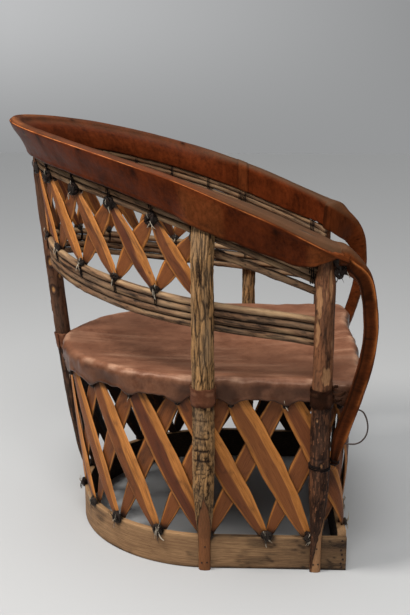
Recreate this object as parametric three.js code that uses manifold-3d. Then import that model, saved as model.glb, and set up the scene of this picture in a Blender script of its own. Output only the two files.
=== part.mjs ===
// Equipale: a barrel chair of bark-on posts, split-wood lattice, bent rods, leather and hide.
// Millimetres, +Z up. The sitter faces -Y, and the sitter's right hand is on the -X side.
// The wall of the chair is one ruled surface, from the outline of the base to a wider outline at
// the height of the back. Posts, hoops, rods and slats are placed on it by a share of the way
// round (0 at the back, 0.25 on the right, 0.5 at the front), a height and a distance outwards.

import * as THREE from 'three';
import { mergeVertices } from 'three/addons/utils/BufferGeometryUtils.js';
import Module from 'manifold-3d';

const wasm = await Module();
wasm.setup();

// Fit between pieces that touch
const clearance = 0.3;

// Outline of the base and of the wall at the height of the back
const foot = { halfWidth: 293, back: 280, front: -280, roundStart: -9, corner: 20, frontBow: 0 };
const crown = { halfWidth: 305, back: 360, front: -318, roundStart: -100, corner: 110, frontBow: 45 };
const crownHeight = 780;

// Bent band round the base and the board that closes it in front
const band = { thickness: 12, height: 70 };
const board = { thickness: 17, height: 82 };
const bandSegments = 24;

// Posts: places round the wall at the floor and at the height of the back, and radii below and
// above the seat
const posts = [
  { name: 'post_back', footShare: 0.9752, topShare: 0.9768, lowRadius: 13, radius: 16.5, bark: 'dark' },
  { name: 'post_right_middle', footShare: 0.221, topShare: 0.2318, lowRadius: 21, radius: 21, bark: 'gold' },
  { name: 'post_right_front', footShare: 0.3291, topShare: 0.334, lowRadius: 19, radius: 18.5, bark: 'red' },
  { name: 'post_left_middle', footShare: 0.736, topShare: 0.7275, lowRadius: 17, radius: 16, bark: 'grey' },
  { name: 'post_left_front', footShare: 0.6497, topShare: 0.647, lowRadius: 18, radius: 18, bark: 'red' },
];
const whittle = {
  height: 190, footThickness: 12, footWidthShare: 0.6,
  topThickness: 26, topLength: 90, topWidthShare: 0.6,
};
const postTopDrop = 25;
const postMidShare = 0.6;
const postSides = 12;
const rodSides = 8;

// Seat: a bent hoop under a stretched hide with a scalloped hem
const seatHoop = { radius: 11, height: 384 };
const hide = { thickness: 3.2, sag: 15, hemDrop: 26, tab: 12 };
const seatStations = 60;

// Lattice under the seat, and the lattice of the back
const lowLattice = {
  stations: 20, leanStations: 1.5, outerWidth: 56, innerWidth: 46, thickness: 6,
  layerGap: 2.2, endShift: 5, topInset: 2, footCorner: 60,
};
const nodeShiftShares = [
  0, 0.03, -0.03, 0.02, 0.02, 0.2, 0.05, 0.02, -0.05, 0.04,
  -0.03, 0.05, -0.03, 0.04, 0.06, -0.05, 0.03, -0.02, 0.04, -0.03,
];
const highLattice = {
  firstShare: -0.265, lastShare: 0.2245, bays: 12, groupSize: 3,
  outerWidth: 44, innerWidth: 39, thickness: 5.2, layerGap: 0.9, endShift: 3, endFit: 0.7,
};
const lowLeafShares = [[0, 0.36], [0.1, 0.62], [0.28, 0.9], [0.52, 1], [0.78, 0.97], [1, 0.7]];
const highLeafShares = [[0, 0.32], [0.14, 0.7], [0.42, 1], [0.72, 0.88], [1, 0.4]];
const slatSectionShares = [[-0.5, 0.36], [-0.34, 0], [0.34, 0], [0.5, 0.36], [0.2, 1], [-0.2, 1]];
const thong = { height: 5, proud: 0.8, drop: 9, sunkShare: 0.55, segmentLength: 36 };

// Rails: four rods low on the back, three under the rim, and a short one under each arm. The low
// rods and the arm rods lie at a share of the room that the others leave them. A rise is over the
// depth of the base, and a bow over its square.
const lowRail = { rods: 4, radius: 7, roomShare: 0.48, riseShare: -0.115, bowShare: 0.46 };
const highRail = { rods: 3, radius: 6, drop: 80 };
const armRod = { radius: 7, roomShare: 0.12, tail: 4, stations: 8 };
const railTail = 11;
const railStations = 26;

// Rim: a bent rod in a folded band of leather, whose two flaps hang on both sides of the rails.
// Along the arms the outer flap is deeper, and the fold is a broad top over the posts.
const rim = { rodRadius: 9, height: 752.5, riseShare: 0.5532, bowShare: -0.1833, out: 30, tail: 27 };
const rimLeather = {
  thickness: 3.2, backDepth: 54, armDepth: 67, innerDepth: 50,
  kneeDepth: 26, armKneeDepth: 5, hemOut: 16, slack: 2.5, ease: 1.3,
};
const armDepthShares = { from: 0.13, to: 0.27 };
const armTopShares = { from: 0.2, to: 0.27 };
const foldSteps = 5;
const topReachShare = 0.7;
const topFallShare = 0.35;
const rimEnd = { length: 60, depthShare: 0.3 };
const postBulge = { half: 26, fade: 34 };
const rimStations = 50;
const slopePasses = 6;

// Arm bows: leather over a rod, from the end of the rim down to the front post
const bow = { width: 26, thickness: 17, endWidth: 15, endHeight: 236, lashed: 42, sides: 10, steps: 18 };
const bowReach = { right: 84, left: 92 };
const bowShares = [
  [0, 0.31], [0.045, 0.57], [0.112, 0.78], [0.195, 0.92], [0.3, 0.99], [0.37, 1],
  [0.46, 0.96], [0.549, 0.88], [0.682, 0.71], [0.82, 0.5], [0.936, 0.36], [1, 0.33],
];

// Straps round the posts: hide collars at the seat, lashings at the ends of the bows
const collar = { below: 4, height: 36, thickness: 3 };
const lashing = { height: 12, thickness: 3.5 };
const strapAngles = { reach: 135, turn: 120, sides: 9 };

// Free loop of lace on the right arm bow, in places chosen by hand
const lace = { radius: 1.5, steps: 16, sides: 8 };
const lacePoints = [
  [-326.1, -284.6, 351.4], [-328.6, -290.8, 351], [-329.4, -297.5, 346.5], [-329.8, -303, 336],
  [-329.8, -306.3, 322], [-329.4, -306, 309], [-328.9, -302, 297], [-328.3, -294.5, 288],
  [-327.4, -285.5, 283.3], [-326, -275.5, 282.2], [-323.5, -264.4, 282.3],
];

const colour = {
  bandWood: 0x93714f, slat: 0xa8703c, darkSlat: 0x8a5a30, rod: 0x75634c, hoop: 0x6b5238,
  leather: 0x63301a, hide: 0x8d6a58, collar: 0x5a3c30, lashing: 0x33261e, lace: 0x4a2c1c,
  dark: 0x5b4032, gold: 0x9a7748, red: 0x6d4a33, grey: 0x7c6245,
};

const chair = new THREE.Group();
const depth = foot.back - foot.front;
const up = new THREE.Vector3(0, 0, 1);
const ahead = new THREE.Vector3(0, -1, 0);

function addPiece(name, geometry, tint, roughness = 0.7) {
  const material = new THREE.MeshStandardMaterial({ color: tint, roughness, metalness: 0 });
  const mesh = new THREE.Mesh(geometry, material);
  mesh.name = name;
  chair.add(mesh);
}

function mix(a, b, share) {
  return a + (b - a) * share;
}

// Value at a place in a table of [place, value] pairs, straight between neighbours
function fromTable(table, place) {
  const next = table.findIndex(([at]) => at >= place);
  if (next <= 0) return table[next < 0 ? table.length - 1 : 0][1];
  const [lowAt, low] = table[next - 1];
  const [highAt, high] = table[next];
  return mix(low, high, (place - lowAt) / (highAt - lowAt));
}

// Closed outline seen from above, from the back by the right side, the front and the left side
function outline({ halfWidth, back, front, roundStart, corner, frontBow }) {
  const path = new THREE.Path();
  path.absellipse(0, roundStart, halfWidth, back - roundStart, Math.PI / 2, Math.PI, false, 0);
  path.lineTo(-halfWidth, front + corner);
  path.quadraticCurveTo(-halfWidth, front, corner - halfWidth, front);
  path.quadraticCurveTo(0, front - frontBow, halfWidth - corner, front);
  path.quadraticCurveTo(halfWidth, front, halfWidth, front + corner);
  path.lineTo(halfWidth, roundStart);
  path.absellipse(0, roundStart, halfWidth, back - roundStart, 0, Math.PI / 2, false, 0);
  return path;
}

const footOutline = outline(foot);
const slatOutline = outline({ ...foot, corner: lowLattice.footCorner });
const crownOutline = outline(crown);
const roundLength = footOutline.getLength();

// Place on the wall, with the directions along and out of it
function wallFrame(share, height, lowOutline = footOutline) {
  const turn = share - Math.floor(share);
  const rise = height / crownHeight;
  const place = lowOutline.getPoint(turn).lerp(crownOutline.getPoint(turn), rise);
  const along = lowOutline.getTangent(turn).lerp(crownOutline.getTangent(turn), rise).normalize();
  return {
    place: new THREE.Vector3(place.x, place.y, height),
    along: new THREE.Vector3(along.x, along.y, 0),
    out: new THREE.Vector3(along.y, -along.x, 0),
  };
}

function onWall(share, height, out) {
  const frame = wallFrame(share, height);
  return frame.place.addScaledVector(frame.out, out);
}

// Height of the rim's rod above a place on the floor
function rimHeight(y) {
  const reach = y / depth;
  return mix(seatHoop.height, rim.height, 1 + reach * (rim.riseShare + rim.bowShare * reach));
}

// Height of the lowest rod, by its share of the room that the hide at the hoop, the low rods, an
// arm rod and the rods below the rim leave free
function lowRailHeight(y) {
  const seatTop = seatHoop.height + seatHoop.radius + clearance + hide.thickness;
  const stack = lowRail.rods * (2 * lowRail.radius + clearance) + 2 * armRod.radius;
  const room = rimHeight(y) - highRail.drop - highRail.radius - seatTop - stack;
  const reach = y / depth;
  const share = lowRail.roomShare + reach * (lowRail.riseShare + lowRail.bowShare * reach);
  return seatTop + lowRail.radius + room * share;
}

// Place on a hoop that climbs towards the back, with the wall's directions there
function onSlope(heightAbove, share, drop, out) {
  let height = rim.height;
  for (let pass = 0; pass < slopePasses; pass += 1) {
    height = heightAbove(wallFrame(share, height).place.y);
  }
  const frame = wallFrame(share, height - drop);
  frame.place.addScaledVector(frame.out, out);
  return frame;
}

// Closed skin over rings of points with equal counts, capped at both ends unless it is a loop
function loft(rings, isLoop = false) {
  const count = rings[0].length;
  const positions = rings.flat().flatMap((point) => [point.x, point.y, point.z]);
  const faces = [];
  const spans = isLoop ? rings.length : rings.length - 1;
  for (let ring = 0; ring < spans; ring += 1) {
    const here = ring * count;
    const next = ((ring + 1) % rings.length) * count;
    for (let side = 0; side < count; side += 1) {
      const after = (side + 1) % count;
      faces.push(here + side, here + after, next + after, here + side, next + after, next + side);
    }
  }
  if (!isLoop) {
    const cap = capFaces(rings[0]);
    const last = (rings.length - 1) * count;
    cap.forEach(([a, b, c]) => faces.push(c, b, a, last + a, last + b, last + c));
  }
  const geometry = new THREE.BufferGeometry();
  geometry.setAttribute('position', new THREE.Float32BufferAttribute(positions, 3));
  geometry.setIndex(faces);
  return facingOut(geometry);
}

// Triangles of a flat ring, found in the plane that it spans
function capFaces(ring) {
  const middle = ring.reduce((sum, point) => sum.add(point), new THREE.Vector3()).divideScalar(ring.length);
  const normal = new THREE.Vector3();
  ring.forEach((point, index) => {
    const next = ring[(index + 1) % ring.length];
    normal.add(point.clone().sub(middle).cross(next.clone().sub(middle)));
  });
  normal.normalize();
  const across = ring[0].clone().sub(middle).projectOnPlane(normal).normalize();
  const upward = normal.clone().cross(across);
  const flat = ring.map((point) => {
    const arm = point.clone().sub(middle);
    return new THREE.Vector2(arm.dot(across), arm.dot(upward));
  });
  return THREE.ShapeUtils.triangulateShape(flat, []);
}

// Turns all faces over where a skin encloses a negative volume
function facingOut(geometry) {
  const place = geometry.getAttribute('position');
  const index = geometry.getIndex();
  const corner = [0, 1, 2].map(() => new THREE.Vector3());
  let volume = 0;
  for (let face = 0; face < index.count; face += 3) {
    corner.forEach((point, step) => point.fromBufferAttribute(place, index.getX(face + step)));
    volume += corner[0].dot(corner[1].clone().cross(corner[2]));
  }
  if (volume < 0) geometry.setIndex(Array.from(index.array).reverse());
  return geometry;
}

function toSolid(geometry) {
  const bare = new THREE.BufferGeometry();
  bare.setAttribute('position', geometry.getAttribute('position').clone());
  bare.setIndex(geometry.getIndex());
  const merged = mergeVertices(bare);
  return new wasm.Manifold(new wasm.Mesh({
    numProp: 3,
    vertProperties: merged.getAttribute('position').array,
    triVerts: Uint32Array.from(merged.getIndex().array),
  }));
}

function toGeometry(solid) {
  const { vertProperties, triVerts } = solid.getMesh();
  const geometry = new THREE.BufferGeometry();
  geometry.setAttribute('position', new THREE.BufferAttribute(vertProperties, 3));
  geometry.setIndex(new THREE.BufferAttribute(triVerts, 1));
  return geometry;
}

// Ring of points round a rod, upright and across the wall
function rodRing(frame, radius) {
  return Array.from({ length: rodSides }, (_, side) => {
    const angle = side * 2 * Math.PI / rodSides;
    return frame.place.clone()
      .addScaledVector(frame.out, radius * Math.cos(angle))
      .addScaledVector(up, radius * Math.sin(angle));
  });
}

function spaced(count, from, to) {
  return Array.from({ length: count }, (_, step) => mix(from, to, step / (count - 1)));
}

const postNamed = Object.fromEntries(posts.map((post) => [post.name, post]));

function postShare(post, height) {
  return mix(post.footShare, post.topShare, height / crownHeight);
}

// Share of a hoop where a post crosses it, moved on by a tail of rod
function shareAtPost(name, tail, height) {
  const share = postShare(postNamed[name], height) + tail / roundLength;
  return share > 0.5 ? share - 1 : share;
}

function addBase() {
  const shape = new THREE.Shape();
  const inner = { halfWidth: foot.halfWidth - band.thickness, back: foot.back - band.thickness };
  shape.moveTo(foot.halfWidth, foot.front);
  shape.lineTo(foot.halfWidth, foot.roundStart);
  shape.absellipse(0, foot.roundStart, foot.halfWidth, foot.back - foot.roundStart, 0, Math.PI, false, 0);
  shape.lineTo(-foot.halfWidth, foot.front);
  shape.lineTo(-inner.halfWidth, foot.front);
  shape.absellipse(0, foot.roundStart, inner.halfWidth, inner.back - foot.roundStart, Math.PI, 0, true, 0);
  shape.lineTo(inner.halfWidth, foot.front);
  const bent = new THREE.ExtrudeGeometry(shape, {
    depth: band.height, bevelEnabled: false, curveSegments: bandSegments,
  });
  addPiece('base_band', bent, colour.bandWood);

  const width = 2 * (inner.halfWidth - clearance);
  const plank = new THREE.BoxGeometry(width, board.thickness, board.height);
  plank.translate(0, foot.front + board.thickness / 2, board.height / 2);
  addPiece('base_front_board', plank, colour.bandWood);
}

function rimFrame(share, drop = 0, out = rim.out) {
  return onSlope(rimHeight, share, drop, out);
}

function postTop(post) {
  return rimFrame(postShare(post, crownHeight)).place.z - postTopDrop;
}

// Half thickness and half width of a post at a height: whittled flat at the foot, where it is
// nailed to the band, and flattened at the top, where the rim's leather covers it
function postRadii(post, height) {
  const top = postTop(post);
  const shoulder = top - whittle.topLength;
  const rimHem = top - (rimLeather.armDepth - postTopDrop);
  const thick = fromTable([
    [0, whittle.footThickness / 2], [band.height, whittle.footThickness / 2 + clearance],
    [whittle.height, post.lowRadius], [seatHoop.height, post.radius], [shoulder, post.radius],
    [rimHem, whittle.topThickness / 2],
  ], height);
  const wide = fromTable([
    [0, post.lowRadius * whittle.footWidthShare], [band.height, post.lowRadius * whittle.footWidthShare],
    [whittle.height, post.lowRadius], [seatHoop.height, post.radius], [rimHem, post.radius],
    [top, post.radius * whittle.topWidthShare],
  ], height);
  return { thick, wide };
}

// Points round a post at a height, from the inner face on, grown by a strap's thickness
function postRing(post, height, angles, grow = 0) {
  const { thick, wide } = postRadii(post, height);
  const frame = wallFrame(postShare(post, height), height);
  return angles.map((angle) => frame.place.clone()
    .addScaledVector(frame.out, clearance + thick + (thick + grow) * Math.cos(angle))
    .addScaledVector(frame.along, (wide + grow) * Math.sin(angle)));
}

const postAngles = Array.from({ length: postSides }, (_, side) => side * 2 * Math.PI / postSides);

function addPost(post) {
  const top = postTop(post);
  const shoulder = top - whittle.topLength;
  const collarTop = collarBottom() + collar.height;
  const heights = [
    0, band.height, mix(band.height, whittle.height, 0.5), whittle.height, bow.endHeight,
    collarBottom(), collarTop, mix(collarTop, shoulder, postMidShare), shoulder,
    top - (rimLeather.armDepth - postTopDrop), top,
  ];
  const rings = heights.map((height) => postRing(post, height, postAngles));
  addPiece(post.name, loft(rings), colour[post.bark], 0.85);
}

function collarBottom() {
  return seatHoop.height - hide.hemDrop - collar.below;
}

// A strap round the outer side of a post
function addStrap(name, post, bottom, strap, tint) {
  const reach = THREE.MathUtils.degToRad(strapAngles.reach);
  const turn = THREE.MathUtils.degToRad(strapAngles.turn);
  const inside = [-reach, ...spaced(strapAngles.sides, -turn, turn), reach];
  const outside = [...inside].reverse();
  const ring = (height) => [
    ...postRing(post, height, inside, clearance),
    ...postRing(post, height, outside, clearance + strap.thickness),
  ];
  addPiece(name, loft([ring(bottom), ring(bottom + strap.height)]), tint);
}

// Hoop and hide of the seat share their stations, so that they stay in step all round
function seatFrame(station, out = 0) {
  const frame = wallFrame(station / seatStations, seatHoop.height);
  frame.place.addScaledVector(frame.out, out);
  return frame;
}

const hoopInset = hide.thickness + clearance + seatHoop.radius;

function addSeat() {
  const stations = Array.from({ length: seatStations }, (_, station) => station);
  const hoop = stations.map((station) => rodRing(seatFrame(station, -hoopInset), seatHoop.radius));
  addPiece('seat_hoop', loft(hoop, true), colour.hoop);

  const round = (radius, angle) => stations.map((station) => {
    const frame = seatFrame(station, -hoopInset);
    return frame.place.addScaledVector(frame.out, radius * Math.cos(angle))
      .addScaledVector(up, radius * Math.sin(angle));
  });
  const hem = (radius) => stations.map((station) => {
    const tabAt = Math.cos(2 * Math.PI * station * lowLattice.stations / seatStations);
    const drop = hide.hemDrop + hide.tab * Math.max(tabAt, 0);
    return onWall(station / seatStations, seatHoop.height - drop, radius - hoopInset);
  });
  const outer = seatHoop.radius + clearance + hide.thickness;
  const inner = seatHoop.radius + clearance;
  const middle = new THREE.Vector3(0, mix(foot.back + foot.front, crown.back + crown.front, 0.5) / 2, 0);
  const inwards = (crest, share) => crest.map((point) => {
    const place = middle.clone().setZ(point.z).lerp(point, share);
    place.z -= hide.sag * (1 - share * share);
    return place;
  });
  const crestShares = [0.93, 0.72, 0.4, 0.08];
  const quarter = Math.PI / 2;
  const top = round(outer, quarter);
  const under = round(inner, quarter);
  const rings = [
    ...crestShares.map((share) => inwards(top, share)).reverse(),
    top, round(outer, quarter / 2), round(outer, 0),
    hem(outer), hem(inner), round(inner, 0), round(inner, quarter / 2), under,
    ...crestShares.map((share) => inwards(under, share)),
  ];
  addPiece('seat_hide', loft(rings), colour.hide, 0.6);
}

// Slat on a ruled strip between two hoops, whose sections lie along the hoops
function slatRings(strip, from, to, layer, lattice, leafShares) {
  const width = layer > 0 ? lattice.outerWidth : lattice.innerWidth;
  return leafShares.map(([rise, widthShare]) => {
    const share = mix(from, to, rise);
    return slatSectionShares.map(([sideShare, depthShare]) => {
      const side = sideShare * widthShare * width;
      const frame = strip(share + side / roundLength, rise);
      const out = layer * (lattice.layerGap / 2 + depthShare * lattice.thickness);
      return frame.place.addScaledVector(frame.out, out);
    });
  });
}

// Lacing that holds the upper ends of neighbouring slats of one layer
function thongRings(strip, from, to, rise, riseTop, layer, lattice) {
  const near = layer * (lattice.layerGap / 2 + thong.sunkShare * lattice.thickness);
  const far = layer * (lattice.layerGap / 2 + lattice.thickness + thong.proud);
  const segments = Math.ceil((to - from) * roundLength / thong.segmentLength);
  return spaced(segments + 1, from, to).map((share) => [
    [near, rise], [far, rise], [far, riseTop], [near, riseTop],
  ].map(([out, at]) => {
    const frame = strip(share, at);
    return frame.place.addScaledVector(frame.out, out);
  }));
}

// Strip between the top of the base and the underside of the seat hoop
function lowStrip(footHeight) {
  const bottom = footHeight + clearance;
  const top = seatHoop.height - seatHoop.radius - clearance;
  return (share, rise) => {
    const low = wallFrame(share, 0, slatOutline);
    const high = wallFrame(share, seatHoop.height);
    low.place.addScaledVector(low.out, -lowLattice.thickness - lowLattice.layerGap / 2);
    high.place.addScaledVector(high.out, -hoopInset - lowLattice.topInset);
    const place = low.place.lerp(high.place, rise).setZ(mix(bottom, top, rise));
    return { place, out: low.out.lerp(high.out, rise).normalize() };
  };
}

// Strip between the low rail and the rods under the rim
function highStrip(share, rise) {
  const fit = highLattice.endFit;
  const lowTop = (lowRail.rods - 1) * (2 * lowRail.radius + clearance) + lowRail.radius + fit;
  const low = onSlope(lowRailHeight, share, -lowTop, -clearance - lowRail.radius);
  const high = rimFrame(share, highRail.drop + highRail.radius + fit, -clearance - highRail.radius);
  return { place: low.place.lerp(high.place, rise), out: low.out.lerp(high.out, rise).normalize() };
}

function slatGroup(name, lanes, layer, lattice, leafShares, stripHeight, tint) {
  const tops = lanes.map((lane) => lane.to);
  const { strip } = lanes[0];
  const riseTop = 1 - (thong.drop - thong.height) / stripHeight;
  const rise = 1 - thong.drop / stripHeight;
  const overhang = lattice.thickness / roundLength;
  const lacing = thongRings(
    strip, Math.min(...tops) - overhang, Math.max(...tops) + overhang, rise, riseTop, layer, lattice,
  );
  let solid = toSolid(loft(lacing));
  lanes.forEach((lane) => {
    const rings = slatRings(lane.strip, lane.from, lane.to, layer, lattice, leafShares);
    solid = solid.add(toSolid(loft(rings)));
  });
  addPiece(name, toGeometry(solid), tint);
}

function addLowLattice() {
  const step = 1 / lowLattice.stations;
  const shift = lowLattice.endShift / roundLength;
  const stripHeight = seatHoop.height - band.height;
  const corner = shareOfFrontCorner();
  const pairs = lowLattice.stations / 2;
  for (let pair = 0; pair < pairs; pair += 1) {
    [1, -1].forEach((layer) => {
      const lanes = [0, 1].map((half) => {
        const station = 2 * pair + half;
        const bottom = (station + 0.5 + nodeShiftShares[station]) * step;
        const top = (station + 0.5 - layer * lowLattice.leanStations) * step;
        const onBoard = bottom > corner && bottom < 1 - corner;
        const strip = lowStrip(onBoard ? board.height : band.height);
        return { strip, from: bottom - layer * shift, to: top };
      });
      const layerName = layer > 0 ? 'outer' : 'inner';
      const name = `seat_slats_${layerName}_${String(pair + 1).padStart(2, '0')}`;
      const tint = layer > 0 ? colour.slat : colour.darkSlat;
      slatGroup(name, lanes, layer, lowLattice, lowLeafShares, stripHeight, tint);
    });
  }
}

function shareOfFrontCorner() {
  return (roundLength / 2 - foot.halfWidth) / roundLength;
}

function addHighLattice() {
  const step = (highLattice.lastShare - highLattice.firstShare) / highLattice.bays;
  const shift = highLattice.endShift / roundLength;
  const { groupSize } = highLattice;
  const stripHeight = highStrip(0, 1).place.z - highStrip(0, 0).place.z;
  for (let group = 0; group < highLattice.bays / groupSize; group += 1) {
    [1, -1].forEach((layer) => {
      const lanes = Array.from({ length: groupSize }, (_, place) => {
        const left = highLattice.firstShare + (group * groupSize + place) * step;
        const right = left + step - shift;
        const [from, to] = layer > 0 ? [right, left + shift] : [left + shift, right];
        return { strip: highStrip, from, to };
      });
      const name = `back_slats_${layer > 0 ? 'outer' : 'inner'}_${group + 1}`;
      const tint = layer > 0 ? colour.slat : colour.darkSlat;
      slatGroup(name, lanes, layer, highLattice, highLeafShares, stripHeight, tint);
    });
  }
}

function addRods() {
  const lowHeight = lowRailHeight(foot.front);
  const lowStart = shareAtPost('post_left_front', -railTail, lowHeight);
  const lowEnd = shareAtPost('post_right_front', railTail, lowHeight);
  for (let rod = 0; rod < lowRail.rods; rod += 1) {
    const lift = rod * (2 * lowRail.radius + clearance);
    const rings = spaced(railStations, lowStart, lowEnd).map((share) => {
      const frame = onSlope(lowRailHeight, share, -lift, -clearance - lowRail.radius);
      return rodRing(frame, lowRail.radius);
    });
    addPiece(`low_rail_rod_${rod + 1}`, loft(rings), colour.rod);
  }
  const highStart = shareAtPost('post_left_front', -railTail, rim.height);
  const highEnd = shareAtPost('post_right_front', railTail, rim.height);
  for (let rod = 0; rod < highRail.rods; rod += 1) {
    const drop = highRail.drop - rod * (2 * highRail.radius + clearance);
    const rings = spaced(railStations, highStart, highEnd).map((share) => {
      const frame = rimFrame(share, drop, -clearance - highRail.radius);
      return rodRing(frame, highRail.radius);
    });
    addPiece(`high_rail_rod_${rod + 1}`, loft(rings), colour.rod);
  }
  const arms = [
    ['arm_rod_right', shareAtPost('post_right_middle', -armRod.tail, rim.height), highEnd],
    ['arm_rod_left', highStart, shareAtPost('post_left_middle', armRod.tail, rim.height)],
  ];
  arms.forEach(([name, from, to]) => {
    const rings = spaced(armRod.stations, from, to).map((share) => {
      const frame = onSlope(armRodHeight, share, 0, -clearance - armRod.radius);
      return rodRing(frame, armRod.radius);
    });
    addPiece(name, loft(rings), colour.rod);
  });
}

function armRodHeight(y) {
  const under = rimHeight(y) - highRail.drop - highRail.radius - armRod.radius;
  const over = lowRailHeight(y) + (lowRail.rods - 1) * (2 * lowRail.radius + clearance) + lowRail.radius;
  return mix(under, over + armRod.radius, armRod.roomShare);
}

const rimStart = shareAtPost('post_left_front', -rim.tail, rim.height);
const rimStop = shareAtPost('post_right_front', rim.tail, rim.height);

// How far a place lies on an arm, from 0 on the back to 1
function armShare(share, { from, to }) {
  return THREE.MathUtils.smoothstep(Math.abs(share), from, to);
}

// How far the outer flap stands out over the posts, as a share of what they need
function bulgeShare(share) {
  const distances = posts.map((post) => {
    const gap = Math.abs(share - postShare(post, rim.height)) % 1;
    return Math.min(gap, 1 - gap) * roundLength;
  });
  const beyond = (Math.min(...distances) - postBulge.half) / postBulge.fade;
  return 1 - THREE.MathUtils.smoothstep(beyond, 0, 1);
}

function addRim() {
  const shares = spaced(rimStations, rimStart, rimStop);
  const rod = shares.map((share) => rodRing(rimFrame(share), rim.rodRadius));
  addPiece('rim_rod', loft(rod), colour.rod);

  const inner = rim.rodRadius + rimLeather.ease;
  const outer = inner + rimLeather.thickness;
  const needed = clearance + whittle.topThickness + rimLeather.ease + rimLeather.thickness;
  const insideRails = -2 * clearance - 2 * highRail.radius - rimLeather.slack - rim.out;
  const fold = spaced(foldSteps, 0, Math.PI);
  const thick = rimLeather.thickness;
  const rings = shares.map((share) => {
    const frame = rimFrame(share);
    const fromEnd = Math.min(share - rimStart, rimStop - share) * roundLength;
    const full = mix(rimEnd.depthShare, 1, Math.sin(Math.min(fromEnd / rimEnd.length, 1) * Math.PI / 2));
    const hem = mix(rimLeather.hemOut, needed, bulgeShare(share)) - rim.out;
    const flap = (from, to, down, inwards) => {
      const out = rim.out + mix(from, to, full) - inwards;
      return rimFrame(share, down * full, out).place;
    };
    const broad = armShare(share, armTopShares);
    const folded = (radius) => fold.map((angle) => {
      const beyond = Math.max(angle / (Math.PI / 2) - 1, 0);
      const flat = beyond > 0 ? broad : 0;
      const inside = mix(-inner, insideRails, full) * topReachShare;
      const out = mix(radius * Math.cos(angle), inside * beyond, flat);
      const rise = mix(radius * Math.sin(angle), radius - inner * topFallShare * beyond, flat);
      return frame.place.clone().addScaledVector(frame.out, out).addScaledVector(up, rise);
    });
    const outerDepth = mix(rimLeather.backDepth, rimLeather.armDepth, armShare(share, armDepthShares));
    const knee = mix(rimLeather.kneeDepth, rimLeather.armKneeDepth, broad);
    return [
      flap(outer, hem, outerDepth, 0),
      ...folded(outer),
      flap(-inner, insideRails, knee, thick),
      flap(-inner, insideRails, rimLeather.innerDepth, thick),
      flap(-inner, insideRails, rimLeather.innerDepth, 0),
      flap(-inner, insideRails, knee, 0),
      ...folded(inner).reverse(),
      flap(outer, hem, outerDepth, thick),
    ];
  });
  addPiece('rim_leather', loft(rings), colour.leather, 0.5);
}

// Arm bow: a flattened rod that leans forward of its front post and comes back to it
function addBow(name, post, side, reach) {
  const startShare = side > 0 ? rimStop : rimStart;
  const start = rimFrame(startShare);
  start.place.addScaledVector(start.along, side * clearance);
  const drop = start.place.z - bow.endHeight;
  const places = bowShares.map(([down, forward]) => {
    const height = start.place.z - down * drop;
    const frame = wallFrame(postShare(post, height), height);
    const beside = mix(rim.out, clearance + post.radius, down);
    return frame.place.addScaledVector(frame.out, beside).addScaledVector(ahead, forward * reach);
  });
  places[0] = start.place;
  const curve = new THREE.CatmullRomCurve3(places);
  const angles = Array.from({ length: bow.sides }, (_, step) => step * 2 * Math.PI / bow.sides);
  const rings = spaced(bow.steps + 1, 0, 1).map((share) => {
    const place = curve.getPointAt(share);
    const tangent = curve.getTangentAt(share);
    const sideways = tangent.clone().cross(start.out).multiplyScalar(-side).normalize();
    const across = share === 0 ? up.clone() : sideways;
    const left = (1 - share) * curve.getLength();
    const wide = mix(bow.endWidth, bow.width, Math.min(left / bow.lashed, 1)) / 2;
    return angles.map((angle) => place.clone()
      .addScaledVector(across, wide * Math.sin(angle))
      .addScaledVector(start.out, bow.thickness / 2 * Math.cos(angle)));
  });
  addPiece(name, loft(rings), colour.leather, 0.5);
}

function addLace() {
  const curve = new THREE.CatmullRomCurve3(lacePoints.map((point) => new THREE.Vector3(...point)));
  const section = new THREE.Shape().absarc(0, 0, lace.radius, 0, 2 * Math.PI);
  const tube = new THREE.ExtrudeGeometry(section, {
    steps: lace.steps, extrudePath: curve, curveSegments: lace.sides,
  });
  addPiece('lace_loop', tube, colour.lace);
}

addBase();
posts.forEach(addPost);
posts.forEach((post) => {
  addStrap(post.name.replace('post', 'seat_collar'), post, collarBottom(), collar, colour.collar);
});
addSeat();
addLowLattice();
addHighLattice();
addRods();
addRim();
addBow('arm_bow_right', postNamed.post_right_front, 1, bowReach.right);
addBow('arm_bow_left', postNamed.post_left_front, -1, bowReach.left);
['right', 'left'].forEach((side) => {
  const post = postNamed[`post_${side}_front`];
  addStrap(`bow_lashing_${side}`, post, bow.endHeight - lashing.height - clearance, lashing, colour.lashing);
});
addLace();

// The origin lies on the floor, below the middle of the chair without its loop of lace
const chairBox = new THREE.Box3();
chair.children.filter((mesh) => mesh.name !== 'lace_loop').forEach((mesh) => chairBox.expandByObject(mesh));
const middle = chairBox.getCenter(new THREE.Vector3());
chair.position.set(-middle.x, -middle.y, 0);

export default chair;
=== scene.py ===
# Equipale: a barrel chair of bark-on posts, split-wood lattice, bent rods, leather and hide.
# Places are worked out in millimetres, in the chair's own frame: the sitter faces -Y, and shares
# of the way round the wall start at the back and pass the sitter's right side first.

import math
from functools import partial

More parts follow.
